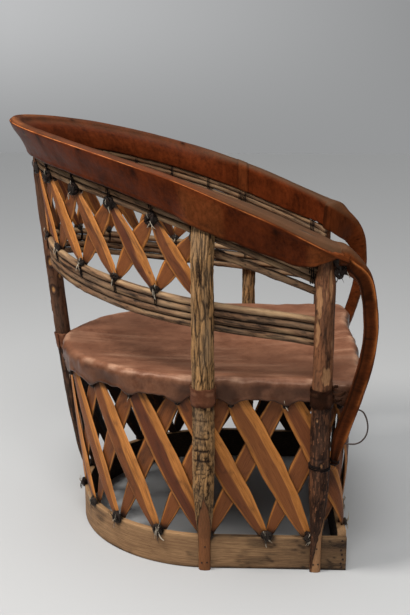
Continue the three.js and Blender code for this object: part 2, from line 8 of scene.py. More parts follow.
import bpy
import numpy as np
from mathutils import Matrix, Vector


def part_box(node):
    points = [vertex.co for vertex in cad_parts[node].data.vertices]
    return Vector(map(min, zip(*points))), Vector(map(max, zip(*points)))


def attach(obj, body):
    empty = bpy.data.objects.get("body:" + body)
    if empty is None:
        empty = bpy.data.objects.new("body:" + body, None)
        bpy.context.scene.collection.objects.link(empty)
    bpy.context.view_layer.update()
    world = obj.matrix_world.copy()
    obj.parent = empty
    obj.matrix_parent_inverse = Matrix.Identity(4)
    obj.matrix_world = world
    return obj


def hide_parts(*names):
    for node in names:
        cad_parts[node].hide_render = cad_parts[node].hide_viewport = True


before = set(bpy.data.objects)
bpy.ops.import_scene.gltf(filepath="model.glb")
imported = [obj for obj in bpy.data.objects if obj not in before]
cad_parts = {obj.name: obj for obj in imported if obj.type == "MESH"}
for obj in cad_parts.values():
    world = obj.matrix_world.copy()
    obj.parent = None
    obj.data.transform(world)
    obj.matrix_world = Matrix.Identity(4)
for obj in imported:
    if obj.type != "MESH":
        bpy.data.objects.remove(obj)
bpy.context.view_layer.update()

MM = 0.001
band_low, band_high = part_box("base_band")
SHIFT_Y = (band_low[1] + band_high[1]) / 2 / MM
UP = np.array([0.0, 0.0, 1.0])
FORWARD = np.array([0.0, -1.0, 0.0])

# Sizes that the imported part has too. A post has its share of the way round at its foot and at the
# top of the wall, its radius low down and its full radius.
CLEARANCE = 0.3
CROWN_HEIGHT = 780
DEPTH = 560
POSTS = {
    "post_back": (0.9752, 0.9768, 13, 16.5),
    "post_right_middle": (0.221, 0.2318, 21, 21),
    "post_right_front": (0.3291, 0.334, 19, 18.5),
    "post_left_middle": (0.736, 0.7275, 17, 16),
    "post_left_front": (0.6497, 0.647, 18, 18),
}
HALF_WIDTH, FOOT_BACK, FOOT_FRONT, ROUND_START, FOOT_CORNER, SLAT_CORNER = 293, 280, -280, -9, 20, 60
HOOP_HEIGHT, HOOP_RADIUS = 384, 11
HIDE_THICKNESS, HIDE_SAG, HEM_DROP, TAB_DROP = 3.2, 15, 26, 12
HOOP_INSET = HIDE_THICKNESS + CLEARANCE + HOOP_RADIUS
BAND_HEIGHT, BAND_THICKNESS, BOARD_HEIGHT, BOARD_THICKNESS = 70, 12, 82, 17
RIM_HEIGHT, RIM_OUT, RIM_TAIL, RIM_ROD = 752.5, 30, 27, 8.6
LOW_ROD, HIGH_ROD, ARM_ROD, HIGH_DROP, ROD_TAIL = 7, 6, 7, 80, 11
LOW_PITCH, HIGH_PITCH = 2 * LOW_ROD + CLEARANCE, 2 * HIGH_ROD + CLEARANCE
COLLAR_BOTTOM, COLLAR_HEIGHT = 354, 36
BOW_END = 236
STATIONS, FIRST_SHARE, LAST_SHARE, BAYS = 20, -0.265, 0.2245, 12
LOW_WIDTH, LOW_THICKNESS, LOW_GAP, LOW_SHIFT = {1: 56, -1: 46}, 6, 2.2, 5
HIGH_WIDTH, HIGH_THICKNESS, HIGH_GAP, HIGH_SHIFT = {1: 44, -1: 39}, 5.2, 0.9, 3
LAYERS = ((1, "outer"), (-1, "inner"))
NODE_SHIFTS = [
    0, 0.03, -0.03, 0.02, 0.02, 0.2, 0.05, 0.02, -0.05, 0.04,
    -0.03, 0.05, -0.03, 0.04, 0.06, -0.05, 0.03, -0.02, 0.04, -0.03,
]


# Numbers and places

def mix(a, b, share):
    return a + (b - a) * share


def smooth(low, high, value):
    """0 below low, 1 above high, and 3s^2 - 2s^3 between them"""
    share = np.clip((value - low) / (high - low), 0, 1)
    return share * share * (3 - 2 * share)


def bell(value, width):
    """exp(-(value / width)^2)"""
    return np.exp(-(value / width) ** 2)


def vec(*parts):
    """Points from their coordinates, which are spread to one shape"""
    return np.stack(np.broadcast_arrays(*parts), -1)


def marked(*parts, top=1):
    """The three marks of a surface, kept between 0 and top"""
    return np.clip(vec(*parts), 0, top)


def unit(vectors):
    """The same directions with length 1"""
    return vectors / np.maximum(np.linalg.norm(vectors, axis=-1, keepdims=True), 1e-9)


def run_of(path):
    """Length of a path up to each of its points"""
    return np.concatenate([[0], np.cumsum(np.linalg.norm(np.diff(path, axis=0), axis=1))])


def grid(rows, cols):
    return np.meshgrid(rows, cols, indexing="ij")


def noise(points, cell, seed):
    """Smooth random values from -1 to 1 at points in mm. Each corner of a grid of cells has one
    random value, and they are blended by 3s^2 - 2s^3 along each axis."""
    scaled = np.asarray(points, float) / np.asarray(cell, float)
    corner = np.floor(scaled).astype(np.int64)
    part = scaled - corner
    part = part * part * (3 - 2 * part)
    total = 0
    for step in np.ndindex(2, 2, 2):
        weight = np.prod(np.where(step, part, 1 - part), axis=-1)
        x, y, z = np.moveaxis(corner + step, -1, 0)
        mixed = (x * 73856093) ^ (y * 19349663) ^ (z * 83492791) ^ (seed * 2654435761)
        mixed = (mixed ^ (mixed >> 13)) * 1274126177 & 0xFFFFFFFF
        mixed = (mixed ^ (mixed >> 16)) & 0xFFFF
        total = total + weight * (mixed / 32767.5 - 1)
    return total


def furrows(points, cell, seed, width=0.16):
    """1 on the lines where a smooth noise passes zero, which join into a net, and 0 away from them"""
    return bell(noise(points, cell, seed), width)


def outline(half_width, back, front, round_start, corner, front_bow):
    """Closed outline seen from above: a quarter ellipse, a straight side, a rounded corner, the
    front and the same again, as points, their shares of the whole length, and that length"""
    turn = np.linspace(0, 1, 300)[:, None]

    def arc(start, end):
        angle = mix(start, end, turn)
        return np.hstack([half_width * np.cos(angle), round_start + (back - round_start) * np.sin(angle)])

    def bend(*corners):
        first, second, third = (np.array(point, float) for point in corners)
        return mix(mix(first, second, turn), mix(second, third, turn), turn)

    side, inset, low = half_width, half_width - corner, front + corner
    halfway = (round_start + low) / 2
    parts = [
        arc(math.pi / 2, math.pi),
        bend((-side, round_start), (-side, halfway), (-side, low)),
        bend((-side, low), (-side, front), (-inset, front)),
        bend((-inset, front), (0, front - front_bow), (inset, front)),
        bend((inset, front), (side, front), (side, low)),
        bend((side, low), (side, halfway), (side, round_start)),
        arc(0, math.pi / 2),
    ]
    points = np.concatenate([part[:-1] for part in parts[:-1]] + [parts[-1]])
    length = run_of(points)
    return points, length / length[-1], length[-1]


FOOT = outline(HALF_WIDTH, FOOT_BACK, FOOT_FRONT, ROUND_START, FOOT_CORNER, 0)
SLAT_FOOT = outline(HALF_WIDTH, FOOT_BACK, FOOT_FRONT, ROUND_START, SLAT_CORNER, 0)
CROWN = outline(305, 360, -318, -100, 110, 45)
ROUND = FOOT[2]
HEADING_STEP = 0.0015


def on_outline(line, share):
    points, shares, _ = line
    turn = share % 1
    return vec(*(np.interp(turn, shares, points[:, axis]) for axis in (0, 1)))


def wall(share, height, low=FOOT):
    """Place on the ruled wall, and the directions along and out of it. The place and the direction
    along are straight blends of those of the two outlines."""
    share, height = np.broadcast_arrays(np.asarray(share, float), np.asarray(height, float))
    rise = height[..., None] / CROWN_HEIGHT
    flat = mix(on_outline(low, share), on_outline(CROWN, share), rise)
    heading = 0
    for line, weight in ((low, 1 - rise), (CROWN, rise)):
        ahead = on_outline(line, share + HEADING_STEP) - on_outline(line, share - HEADING_STEP)
        heading = heading + weight * unit(ahead)
    heading = unit(heading)
    place = vec(flat[..., 0], flat[..., 1], height)
    return place, vec(heading[..., 0], heading[..., 1], 0), vec(heading[..., 1], -heading[..., 0], 0)


def rim_height(y):
    reach = y / DEPTH
    return mix(HOOP_HEIGHT, RIM_HEIGHT, 1 + reach * (0.5532 - 0.1833 * reach))


def low_rail_height(y):
    seat_top = HOOP_HEIGHT + HOOP_RADIUS + CLEARANCE + HIDE_THICKNESS
    stack = 4 * LOW_PITCH + 2 * ARM_ROD
    room = rim_height(y) - HIGH_DROP - HIGH_ROD - seat_top - stack
    reach = y / DEPTH
    return seat_top + LOW_ROD + room * (0.48 + reach * (-0.115 + 0.46 * reach))


def arm_rod_height(y):
    under = rim_height(y) - HIGH_DROP - HIGH_ROD - ARM_ROD
    over = low_rail_height(y) + 3 * LOW_PITCH + LOW_ROD + ARM_ROD
    return mix(under, over, 0.12)


def on_slope(height_above, share, drop, out):
    """Place on a hoop that climbs towards the back: its height is the one above its own Y"""
    height = np.full(np.shape(share), float(RIM_HEIGHT))
    for _ in range(6):
        height = height_above(wall(share, height)[0][..., 1])
    place, along, outward = wall(share, height - drop)
    return place + outward * np.asarray(out, float)[..., None], along, outward


# Meshes

def placed(name, data):
    """A new object of the scene, at the origin"""
    made = bpy.data.objects.new(name, data)
    bpy.context.scene.collection.objects.link(made)
    return made


def skin(points, grain=None, marks=None, loop=False):
    """A grid of points as a closed skin: each row is a ring, and the first and last rows are capped
    unless the rows close into a loop"""
    rows, cols = points.shape[:2]
    grain = points if grain is None else grain
    marks = np.zeros_like(points) if marks is None else marks
    index = np.arange(rows * cols).reshape(rows, cols)
    wide = np.concatenate([index, index[:, :1]], 1)
    wide = np.concatenate([wide, wide[:1]], 0) if loop else wide
    quads = np.stack([wide[:-1, :-1], wide[:-1, 1:], wide[1:, 1:], wide[1:, :-1]], -1).reshape(-1, 4)
    flat = points.reshape(-1, 3)
    a, b, c, d = (flat[quads[:, i]] - flat.mean(0) for i in range(4))
    volume = np.einsum("ij,ij->", a, np.cross(b, c)) + np.einsum("ij,ij->", a, np.cross(c, d))
    ends = [] if loop else [index[0][::-1], index[-1]]
    if volume < 0:
        quads = quads[:, ::-1]
        ends = [end[::-1] for end in ends]
    return flat, quads, ends, grain.reshape(-1, 3), marks.reshape(-1, 3)


def piece(name, skins, finish, nodes=()):
    """One object of joined skins, in metres, which rides on the chair's body"""
    count = np.cumsum([0] + [len(part[0]) for part in skins])
    co, grain, marks = (np.concatenate([part[column] for part in skins]) for column in (0, 3, 4))
    quads = np.concatenate([part[1] + start for part, start in zip(skins, count)])
    ends = [end + start for part, start in zip(skins, count) for end in part[2]]
    corners = np.concatenate([quads.ravel()] + ends)
    totals = np.concatenate([np.full(len(quads), 4), [len(end) for end in ends]]).astype(int)
    mesh = bpy.data.meshes.new(name)
    mesh.vertices.add(len(co))
    mesh.vertices.foreach_set("co", ((co + [0, SHIFT_Y, 0]) * MM).astype(np.float32).ravel())
    mesh.loops.add(len(corners))
    mesh.loops.foreach_set("vertex_index", corners.astype(np.int32))
    mesh.polygons.add(len(totals))
    mesh.polygons.foreach_set("loop_start", (np.cumsum(totals) - totals).astype(np.int32))
    mesh.polygons.foreach_set("loop_total", totals.astype(np.int32))
    mesh.polygons.foreach_set("use_smooth", np.full(len(totals), True))
    for label, values in (("grain", grain), ("marks", marks)):
        layer = mesh.attributes.new(label, "FLOAT_VECTOR", "POINT")
        layer.data.foreach_set("vector", values.astype(np.float32).ravel())
    mesh.update(calc_edges=True)
    mesh.validate()
    made = placed(name, mesh)
    made.data.materials.append(finish)
    if nodes:
        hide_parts(*nodes)
    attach(made, "root")


def directions(path):
    """Unit steps along a path of points"""
    return unit(np.gradient(path, axis=0))


def tube(path, radius, sides=10, side_hint=UP, flat=1.0, seed=0, rough=0.0):
    """Ring of sides round each point of a path: radius times (cos, flat times sin), in the plane
    across the path, with rounded ends and random swelling"""
    heading = directions(path)
    across = unit(np.cross(heading, side_hint))
    over = np.cross(across, heading)
    angle = np.linspace(0, math.tau, sides, endpoint=False)
    radius = np.broadcast_to(np.asarray(radius, float), len(path))
    if rough:
        radius = radius * (1 + rough * noise(path, 9, seed))
    size = radius[:, None, None]
    side, rise = np.cos(angle)[:, None], flat * np.sin(angle)[:, None]
    points = path[:, None] + size * (across[:, None] * side + over[:, None] * rise)
    near, far = points[:1].mean(1, keepdims=True), points[-1:].mean(1, keepdims=True)
    first = near + (points[:1] - near) * 0.55 - heading[:1, None] * radius[0] * 0.35
    last = far + (points[-1:] - far) * 0.55 + heading[-1:, None] * radius[-1] * 0.35
    points = np.concatenate([first, points, last])
    length = run_of(path)
    length = np.concatenate([[length[0] - 1], length, [length[-1] + 1]])
    size = np.concatenate([size[:1], size, size[-1:]])[..., 0]
    grain = vec(size * np.cos(angle), size * np.sin(angle), length[:, None])
    return points, grain + seed * np.array([31.7, 12.3, 57.1])


def sheet_normals(points):
    """Unit normals of a grid of points, from its steps along both ways"""
    return unit(np.cross(np.gradient(points, axis=0), np.gradient(points, axis=1)))


def thickened(points, thickness, marks, grain):
    """A closed skin from an open sheet: the sheet, and itself moved in along its normals"""
    inner = points - sheet_normals(points) * thickness
    back = inner[:, ::-1]
    return skin(np.concatenate([points, back], 1),
                np.concatenate([grain, back - points[:, ::-1] + grain[:, ::-1]], 1),
                np.concatenate([marks, marks[:, ::-1]], 1))


def curve_through(controls, count):
    """Points on a Catmull-Rom curve through the controls, evenly numbered:
    (2b + (c - a)t + (2a - 5b + 4c - d)t^2 + (3b - a - 3c + d)t^3) / 2"""
    controls = np.asarray(controls, float)
    padded = np.concatenate([2 * controls[:1] - controls[1:2], controls, 2 * controls[-1:] - controls[-2:-1]])
    place = np.linspace(0, len(controls) - 1, count)
    start = np.minimum(place.astype(int), len(controls) - 2)
    t = (place - start).reshape((-1,) + (1,) * (controls.ndim - 1))
    a, b, c, d = (padded[start + i] for i in range(4))
    bend, twist = 2 * a - 5 * b + 4 * c - d, 3 * b - a - 3 * c + d
    return 0.5 * (2 * b + (c - a) * t + bend * t ** 2 + twist * t ** 3)


def evenly(path, count):
    """The same path with its points evenly spaced"""
    length = run_of(path)
    place = np.linspace(0, length[-1], count)
    return vec(*(np.interp(place, length, path[:, axis]) for axis in range(3)))


# Materials

RGBA = {"data_type": "RGBA"}
TIMES = {"data_type": "RGBA", "blend_type": "MULTIPLY"}


def hex_colour(text):
    """Linear colour of an sRGB hex value"""
    parts = [int(text[i:i + 2], 16) / 255 for i in (1, 3, 5)]
    return tuple(c / 12.92 if c <= 0.04045 else ((c + 0.055) / 1.055) ** 2.4 for c in parts) + (1.0,)


def node(tree, kind, settings=None, **inputs):
    """Adds one shader node with its settings, and with the values, hex colours or links of its
    inputs, which are named, or numbered as in i0. A node given as an input stands for its result."""
    made = tree.nodes.new("ShaderNode" + kind)
    for key, value in (settings or {}).items():
        setattr(made, key, value)
    for key, value in inputs.items():
        numbered = key[0] == "i" and key[1:].isdigit()
        socket = made.inputs[int(key[1:])] if numbered else made.inputs[key.replace("_", " ")]
        if isinstance(value, bpy.types.Node):
            value = value.outputs[2 if value.bl_idname == "ShaderNodeMix" else 0]
        if isinstance(value, bpy.types.NodeSocket):
            tree.links.new(value, socket)
        else:
            socket.default_value = hex_colour(value) if isinstance(value, str) else value
    return made


def started(name):
    """A material without nodes, and the function that adds one to it"""
    material = bpy.data.materials.new(name)
    material.use_nodes = True
    material.node_tree.nodes.clear()
    return material, partial(node, material.node_tree)


def surface(name):
    """A started material with the grain of its surface, in mm, and its three marks"""
    material, add = started(name)
    grain = add("Attribute", {"attribute_name": "grain"}).outputs["Vector"]
    marks = add("Attribute", {"attribute_name": "marks"}).outputs["Vector"]
    return material, add, grain, add("SeparateXYZ", i0=marks).outputs


def wood(name, light, dark, heart, dirt_and_shade, line, roughness, bump):
    """Split or sawn wood: long thin growth lines, drawn from a noise 30 times longer than wide,
    over slow drifts of tone. The marks are heartwood; soiling, which also carries painted shade;
    and rubbed corners, which also carry a painted highlight."""
    material, add, grain, mark = surface(name)
    clamped = {"operation": "MULTIPLY", "use_clamp": True}
    stretched = add("Mapping", Vector=grain, Scale=(1 / line, 1 / line, 1 / (30 * line)))
    lines = add("TexNoise", Vector=stretched, Scale=0.9, Detail=5.0, Roughness=0.65, Distortion=0.4)
    slow = add("Mapping", Vector=grain, Scale=(0.06, 0.06, 0.008))
    drift = add("TexNoise", Vector=slow, Scale=1.0, Detail=3.0)
    fine = add("Mapping", Vector=grain, Scale=(2.2, 2.2, 0.12))
    fibre = add("TexNoise", Vector=fine, Scale=1.0, Detail=3.0, Roughness=0.7)
    line_share = add("MapRange", Value=lines, From_Min=0.36, From_Max=0.66)
    sap = add("Mix", RGBA, i0=line_share, i6=dark, i7=light)
    drift_share = add("MapRange", Value=drift, From_Min=0.3, From_Max=0.72, To_Max=0.5)
    drifted = add("Mix", RGBA, i0=drift_share, i6=sap, i7=dark)
    heart_line = add("MapRange", Value=lines, From_Min=0.3, From_Max=0.7, To_Min=0.8, To_Max=1.18)
    heart_tone = add("Mix", TIMES, i0=1.0, i6=heart, i7=heart_line)
    cored = add("Mix", RGBA, i0=mark[0], i6=drifted, i7=heart_tone)
    rubbed = add("Mix", RGBA, i0=mark[2], i6=cored, i7=light)
    dirt_and_shade_share = add("Math", {"operation": "MULTIPLY_ADD", "use_clamp": True}, i0=mark[1], i1=1.5, i2=-0.25)
    broken = add("Math", clamped, i0=dirt_and_shade_share, i1=fibre)
    doubled = add("Math", clamped, i0=broken, i1=1.9)
    colour = add("Mix", RGBA, i0=doubled, i6=rubbed, i7=dirt_and_shade)
    height = add("Math", {"operation": "ADD"}, i0=lines, i1=fibre)
    relief = add("Bump", Strength=bump, Distance=0.0008, Height=height)
    rough = add("MapRange", Value=fibre, From_Min=0.2, From_Max=0.8,
                To_Min=roughness - 0.1, To_Max=roughness + 0.12)
    shader = add("BsdfPrincipled", Base_Color=colour, Roughness=rough, Normal=relief, IOR=1.46,
                 Specular_IOR_Level=0.22)
    add("OutputMaterial", Surface=shader)
    return material


def bark(name, furrow, ridge, grey, peeled, peeled_dark, roughness=0.66, fleck=1.8):
    """Bark: the marks are the height of its ridges, the peeled places and the scars. Ridges are
    dusted with grey, furrows are dark, and peeled places show fibrous sapwood."""
    material, add, grain, mark = surface(name)
    flecks = add("Mapping", Vector=grain, Scale=(1 / fleck, 1 / fleck, 0.3 / fleck))
    speckle = add("TexNoise", Vector=flecks, Scale=1.0, Detail=6.0, Roughness=0.72)
    slow = add("Mapping", Vector=grain, Scale=(0.05, 0.05, 0.014))
    drift = add("TexNoise", Vector=slow, Scale=1.0, Detail=3.0)
    fine = add("Mapping", Vector=grain, Scale=(1.1, 1.1, 0.07))
    fibre = add("TexNoise", Vector=fine, Scale=1.0, Detail=4.0, Roughness=0.7)
    lifted = add("Math", {"operation": "MULTIPLY_ADD"}, i0=speckle, i1=1.3, i2=-0.65)
    level = add("Math", {"operation": "ADD", "use_clamp": True}, i0=mark[0], i1=lifted)
    skin_tone = add("Mix", RGBA, i0=level, i6=furrow, i7=ridge)
    dust = add("MapRange", Value=drift, From_Min=0.42, From_Max=0.68, To_Max=0.6)
    dusted = add("Mix", RGBA, i0=dust, i6=skin_tone, i7=grey)
    darker = add("MapRange", Value=level, From_Max=0.6, To_Min=0.6)
    shaded = add("Mix", TIMES, i0=1.0, i6=dusted, i7=darker)
    wood_tone = add("MapRange", Value=fibre, From_Min=0.3, From_Max=0.7)
    bare = add("Mix", RGBA, i0=wood_tone, i6=peeled_dark, i7=peeled)
    opened = add("Mix", RGBA, i0=mark[1], i6=shaded, i7=bare)
    colour = add("Mix", RGBA, i0=mark[2], i6=opened, i7="#1d1310")
    height = add("Math", {"operation": "ADD"}, i0=speckle, i1=fibre)
    relief = add("Bump", Strength=0.55, Distance=0.0011, Height=height)
    rough = add("MapRange", Value=mark[1], To_Min=roughness, To_Max=0.55)
    shader = add("BsdfPrincipled", Base_Color=colour, Roughness=rough, Normal=relief, IOR=1.45,
                 Specular_IOR_Level=0.15)
    add("OutputMaterial", Surface=shader)
    return material


def leather(name, deep, lit, worn, dust, stain_and_shade, pore=1.6, roughness=0.42, bump=0.3,
            shine=0.14, shine_tint="#b46e42"):
    """Oiled leather or hide: cloudy dye, fine pores from a cell pattern, and the marks of wear,
    stains and dust. Its darkest colour is also painted shade where a piece's second mark carries it."""
    material, add, grain, mark = surface(name)
    cloud = add("TexNoise", Vector=grain, Scale=0.022, Detail=5.0, Roughness=0.62)
    patch = add("TexNoise", Vector=grain, Scale=0.16, Detail=6.0, Roughness=0.7)
    pores = add("TexVoronoi", Vector=grain, Scale=1 / pore)
    creases = add("TexNoise", Vector=grain, Scale=0.09, Detail=4.0, Distortion=1.2)
    summed = add("Math", {"operation": "MULTIPLY_ADD"}, i0=patch, i1=0.7, i2=cloud)
    tone = add("MapRange", Value=summed, From_Min=0.62, From_Max=1.08)
    base = add("Mix", RGBA, i0=tone, i6=deep, i7=lit)
    chafe = add("Math", {"operation": "MULTIPLY_ADD", "use_clamp": True}, i0=patch, i1=1.4, i2=-0.02)
    worn_share = add("Math", {"operation": "MULTIPLY", "use_clamp": True}, i0=mark[0], i1=chafe)
    rubbed = add("Mix", RGBA, i0=worn_share, i6=base, i7=worn)
    dusted = add("Mix", RGBA, i0=mark[2], i6=rubbed, i7=dust)
    colour = add("Mix", RGBA, i0=mark[1], i6=dusted, i7=stain_and_shade)
    height = add("Math", {"operation": "MULTIPLY_ADD"}, i0=creases, i1=2.4, i2=pores)
    relief = add("Bump", Strength=bump, Distance=0.0007, Height=height)
    rough = add("MapRange", Value=patch, From_Min=0.25, From_Max=0.75,
                To_Min=roughness - 0.08, To_Max=roughness + 0.14)
    shader = add("BsdfPrincipled", Base_Color=colour, Roughness=rough, Normal=relief, IOR=1.5,
                 Specular_IOR_Level=shine, Specular_Tint=shine_tint)
    add("OutputMaterial", Surface=shader)
    return material


def speckled(name, first, second, scale, detail, roughness, metallic=0.0):
    """A finish of two tones, blended by a fine noise over the object's own places"""
    material, add = started(name)
    speck = add("TexNoise", Vector=add("TexCoord").outputs["Object"], Scale=scale, Detail=detail)
    tone = add("Mix", RGBA, i0=speck, i6=first, i7=second)
    shader = add("BsdfPrincipled", Base_Color=tone, Roughness=roughness, Metallic=metallic)
    add("OutputMaterial", Surface=shader)
    return material


# Split wood of the lattice: orange-tan sapwood, red-brown heart, grey soiling at the lashings, and the same
# dark as painted shade on the faces inside the chair
split_wood = wood("split_wood", "#c88444", "#86501f", "#5c2f19", "#1a1210",
                  line=0.9, roughness=0.48, bump=0.7)
# Bent and sawn base: weathered, greyer, with dark stains under the knots, and the same dark as painted shade
# on its inner faces and towards the front
base_wood = wood("base_wood", "#b48f66", "#694d34", "#6b4d36", "#20170f",
                 line=1.0, roughness=0.66, bump=0.6)
# Furrowed bark of the two middle posts
golden_bark = bark("golden_bark", "#20120a", "#a67e52", "#7c664f", "#835433", "#55341f", 0.82, fleck=1.6)
# Thin smooth bark of the back post
dark_bark = bark("dark_bark", "#20140f", "#64422e", "#4c3b30", "#bd8f5c", "#8f6238")
# Redder bark of the two front posts
red_bark = bark("red_bark", "#27150c", "#7a4f34", "#523a2c", "#a67d58", "#6e4a30")
# Bark left on the bent rods, with paler streaks where it is rubbed
rod_bark = bark("rod_bark", "#261a12", "#7c5c43", "#725e4b", "#c4a580", "#94734f", 0.68, fleck=1.4)
# Vegetable-tanned leather, oiled and dark, satin where hands rub it
rim_leather = leather("rim_leather", "#2c1006", "#602a12", "#c97c46", "#54402f", "#100604", roughness=0.38)
bow_leather = leather("bow_leather", "#281006", "#5c2c14", "#b56c38", "#4a3728", "#0d0705", roughness=0.38)
# Undyed hide of the seat, polished by use; its darkest colour is also painted shade on the apron
seat_hide = leather("seat_hide", "#5e3927", "#875d46", "#bd957a", "#765141", "#1f0d08", pore=2.0,
                    roughness=0.36, bump=0.22, shine=0.45, shine_tint="#d8b8a4")
# Hide of the collars, shrunk on wet: black-brown at the front posts, and worn paler at the others
strap_hide = leather("strap_hide", "#120a07", "#30190f", "#5c3d2c", "#2c1d15", "#060302",
                     roughness=0.46, bump=0.6)
worn_strap = leather("worn_strap", "#45261a", "#704632", "#9c7056", "#573d2f", "#160a07",
                     roughness=0.46, bump=0.4)
# Rawhide gone black at the knots, and its pale torn ends
rawhide = leather("rawhide", "#070707", "#191717", "#5c554f", "#3c3733", "#050505", roughness=0.34, bump=0.6)
pale_rawhide = leather("pale_rawhide", "#7d7364", "#c2b8a5", "#e2dacb", "#8a7f70", "#2d2721", roughness=0.5)
# Leather strips, dyed through, that end the left bow, and the dye of the loop of lace
lace_leather = leather("lace_leather", "#2a1a14", "#4c3022", "#7a5540", "#4a3629", "#120b08", roughness=0.5)
lace_dye = speckled("lace_dye", "#1a110d", "#38251b", 240.0, 4.0, 0.6)
# Forged iron with a skin of rust
iron = speckled("nail_iron", "#120e0d", "#3a251b", 900.0, 3.0, 0.55, metallic=0.6)


# Camera, at the photograph's place

FOCAL, FRAME_HEIGHT, SENSOR = 1000, 615, 36
TURN, PITCH = 0.03596039, 0.2518077
CAMERA_PLACE = (-2.09641874, -0.06518951 + SHIFT_Y * MM, 1.00123719)


def turned_to(right, up, back, place):
    """Matrix of an object whose own axes point to the right, up and back"""
    rows = np.eye(4)
    rows[:3] = np.stack([right, up, back, place], 1)
    return Matrix(rows.tolist())


ahead = np.array([math.cos(TURN) * math.cos(PITCH), math.sin(TURN) * math.cos(PITCH), -math.sin(PITCH)])
rightward = np.array([math.sin(TURN), -math.cos(TURN), 0])
camera = placed("camera", bpy.data.cameras.new("camera"))
camera.matrix_world = turned_to(rightward, np.cross(rightward, ahead), -ahead, CAMERA_PLACE)
camera.data.lens = FOCAL / FRAME_HEIGHT * SENSOR
camera.data.sensor_width = SENSOR
camera.data.clip_end = 100
bpy.context.scene.camera = camera

# Loop of lace on the right bow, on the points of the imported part

LACE = np.array([
    [-326.1, -284.6, 351.4], [-328.6, -290.8, 351], [-329.4, -297.5, 346.5], [-329.8, -303, 336],
    [-329.8, -306.3, 322], [-329.4, -306, 309], [-328.9, -302, 297], [-328.3, -294.5, 288],
    [-327.4, -285.5, 283.3], [-326, -275.5, 282.2], [-323.5, -264.4, 282.3],
])
lace_path = (curve_through(LACE, 90) + [0, SHIFT_Y, 0]) * MM
lace_curve = bpy.data.curves.new("lace_cord", "CURVE")
lace_curve.dimensions = "3D"
lace_curve.bevel_depth = 0.0015
lace_curve.bevel_resolution = 3
lace_curve.use_fill_caps = True
lace_line = lace_curve.splines.new("POLY")
lace_line.points.add(len(lace_path) - 1)
lace_line.points.foreach_set("co", np.hstack([lace_path, np.ones((len(lace_path), 1))]).ravel())
lace_curve.materials.append(lace_dye)
lace = placed("lace_cord", lace_curve)
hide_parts("lace_loop")
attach(lace, "root")


# Posts

FURROW_STEP, FURROW_LEAN = 9.5, 84
RIDGED_TOP, RIDGED_FOOT = 400, 330


def post_share(name, height):
    foot, top, _, _ = POSTS[name]
    return mix(foot, top, np.asarray(height, float) / CROWN_HEIGHT)


def post_top(name):
    return float(on_slope(rim_height, post_share(name, CROWN_HEIGHT), 0, RIM_OUT)[0][2]) - 25


def post_sizes(name, height):
    """Half thickness and half width of a post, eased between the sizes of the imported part"""
    _, _, low, full = POSTS[name]
    top = post_top(name)
    hem = top - 42
    thick = np.interp(height, [0, 70, 190, 384, top - 90, hem], [6, 6.3, low, full, full, 13])
    wide = np.interp(height, [0, 70, 190, 384, hem, top], [low * 0.6, low * 0.6, low, full, full, full * 0.6])
    return thick, wide


def post_surface(name, height, angle, lift=0.0):
    """Points round a post: its middle moved out by its half thickness, then (thick cos, wide sin)
    with a lift along the same direction"""
    thick, wide = post_sizes(name, height)
    place, along, out = wall(post_share(name, height), height)
    centre = place + out * (CLEARANCE + thick)[..., None]
    return (centre + out * ((thick + lift) * np.cos(angle))[..., None]
            + along * ((wide + lift) * np.sin(angle))[..., None])


def wrapped(angle):
    """The same angle between -pi and pi"""
    return (angle + math.pi) % math.tau - math.pi


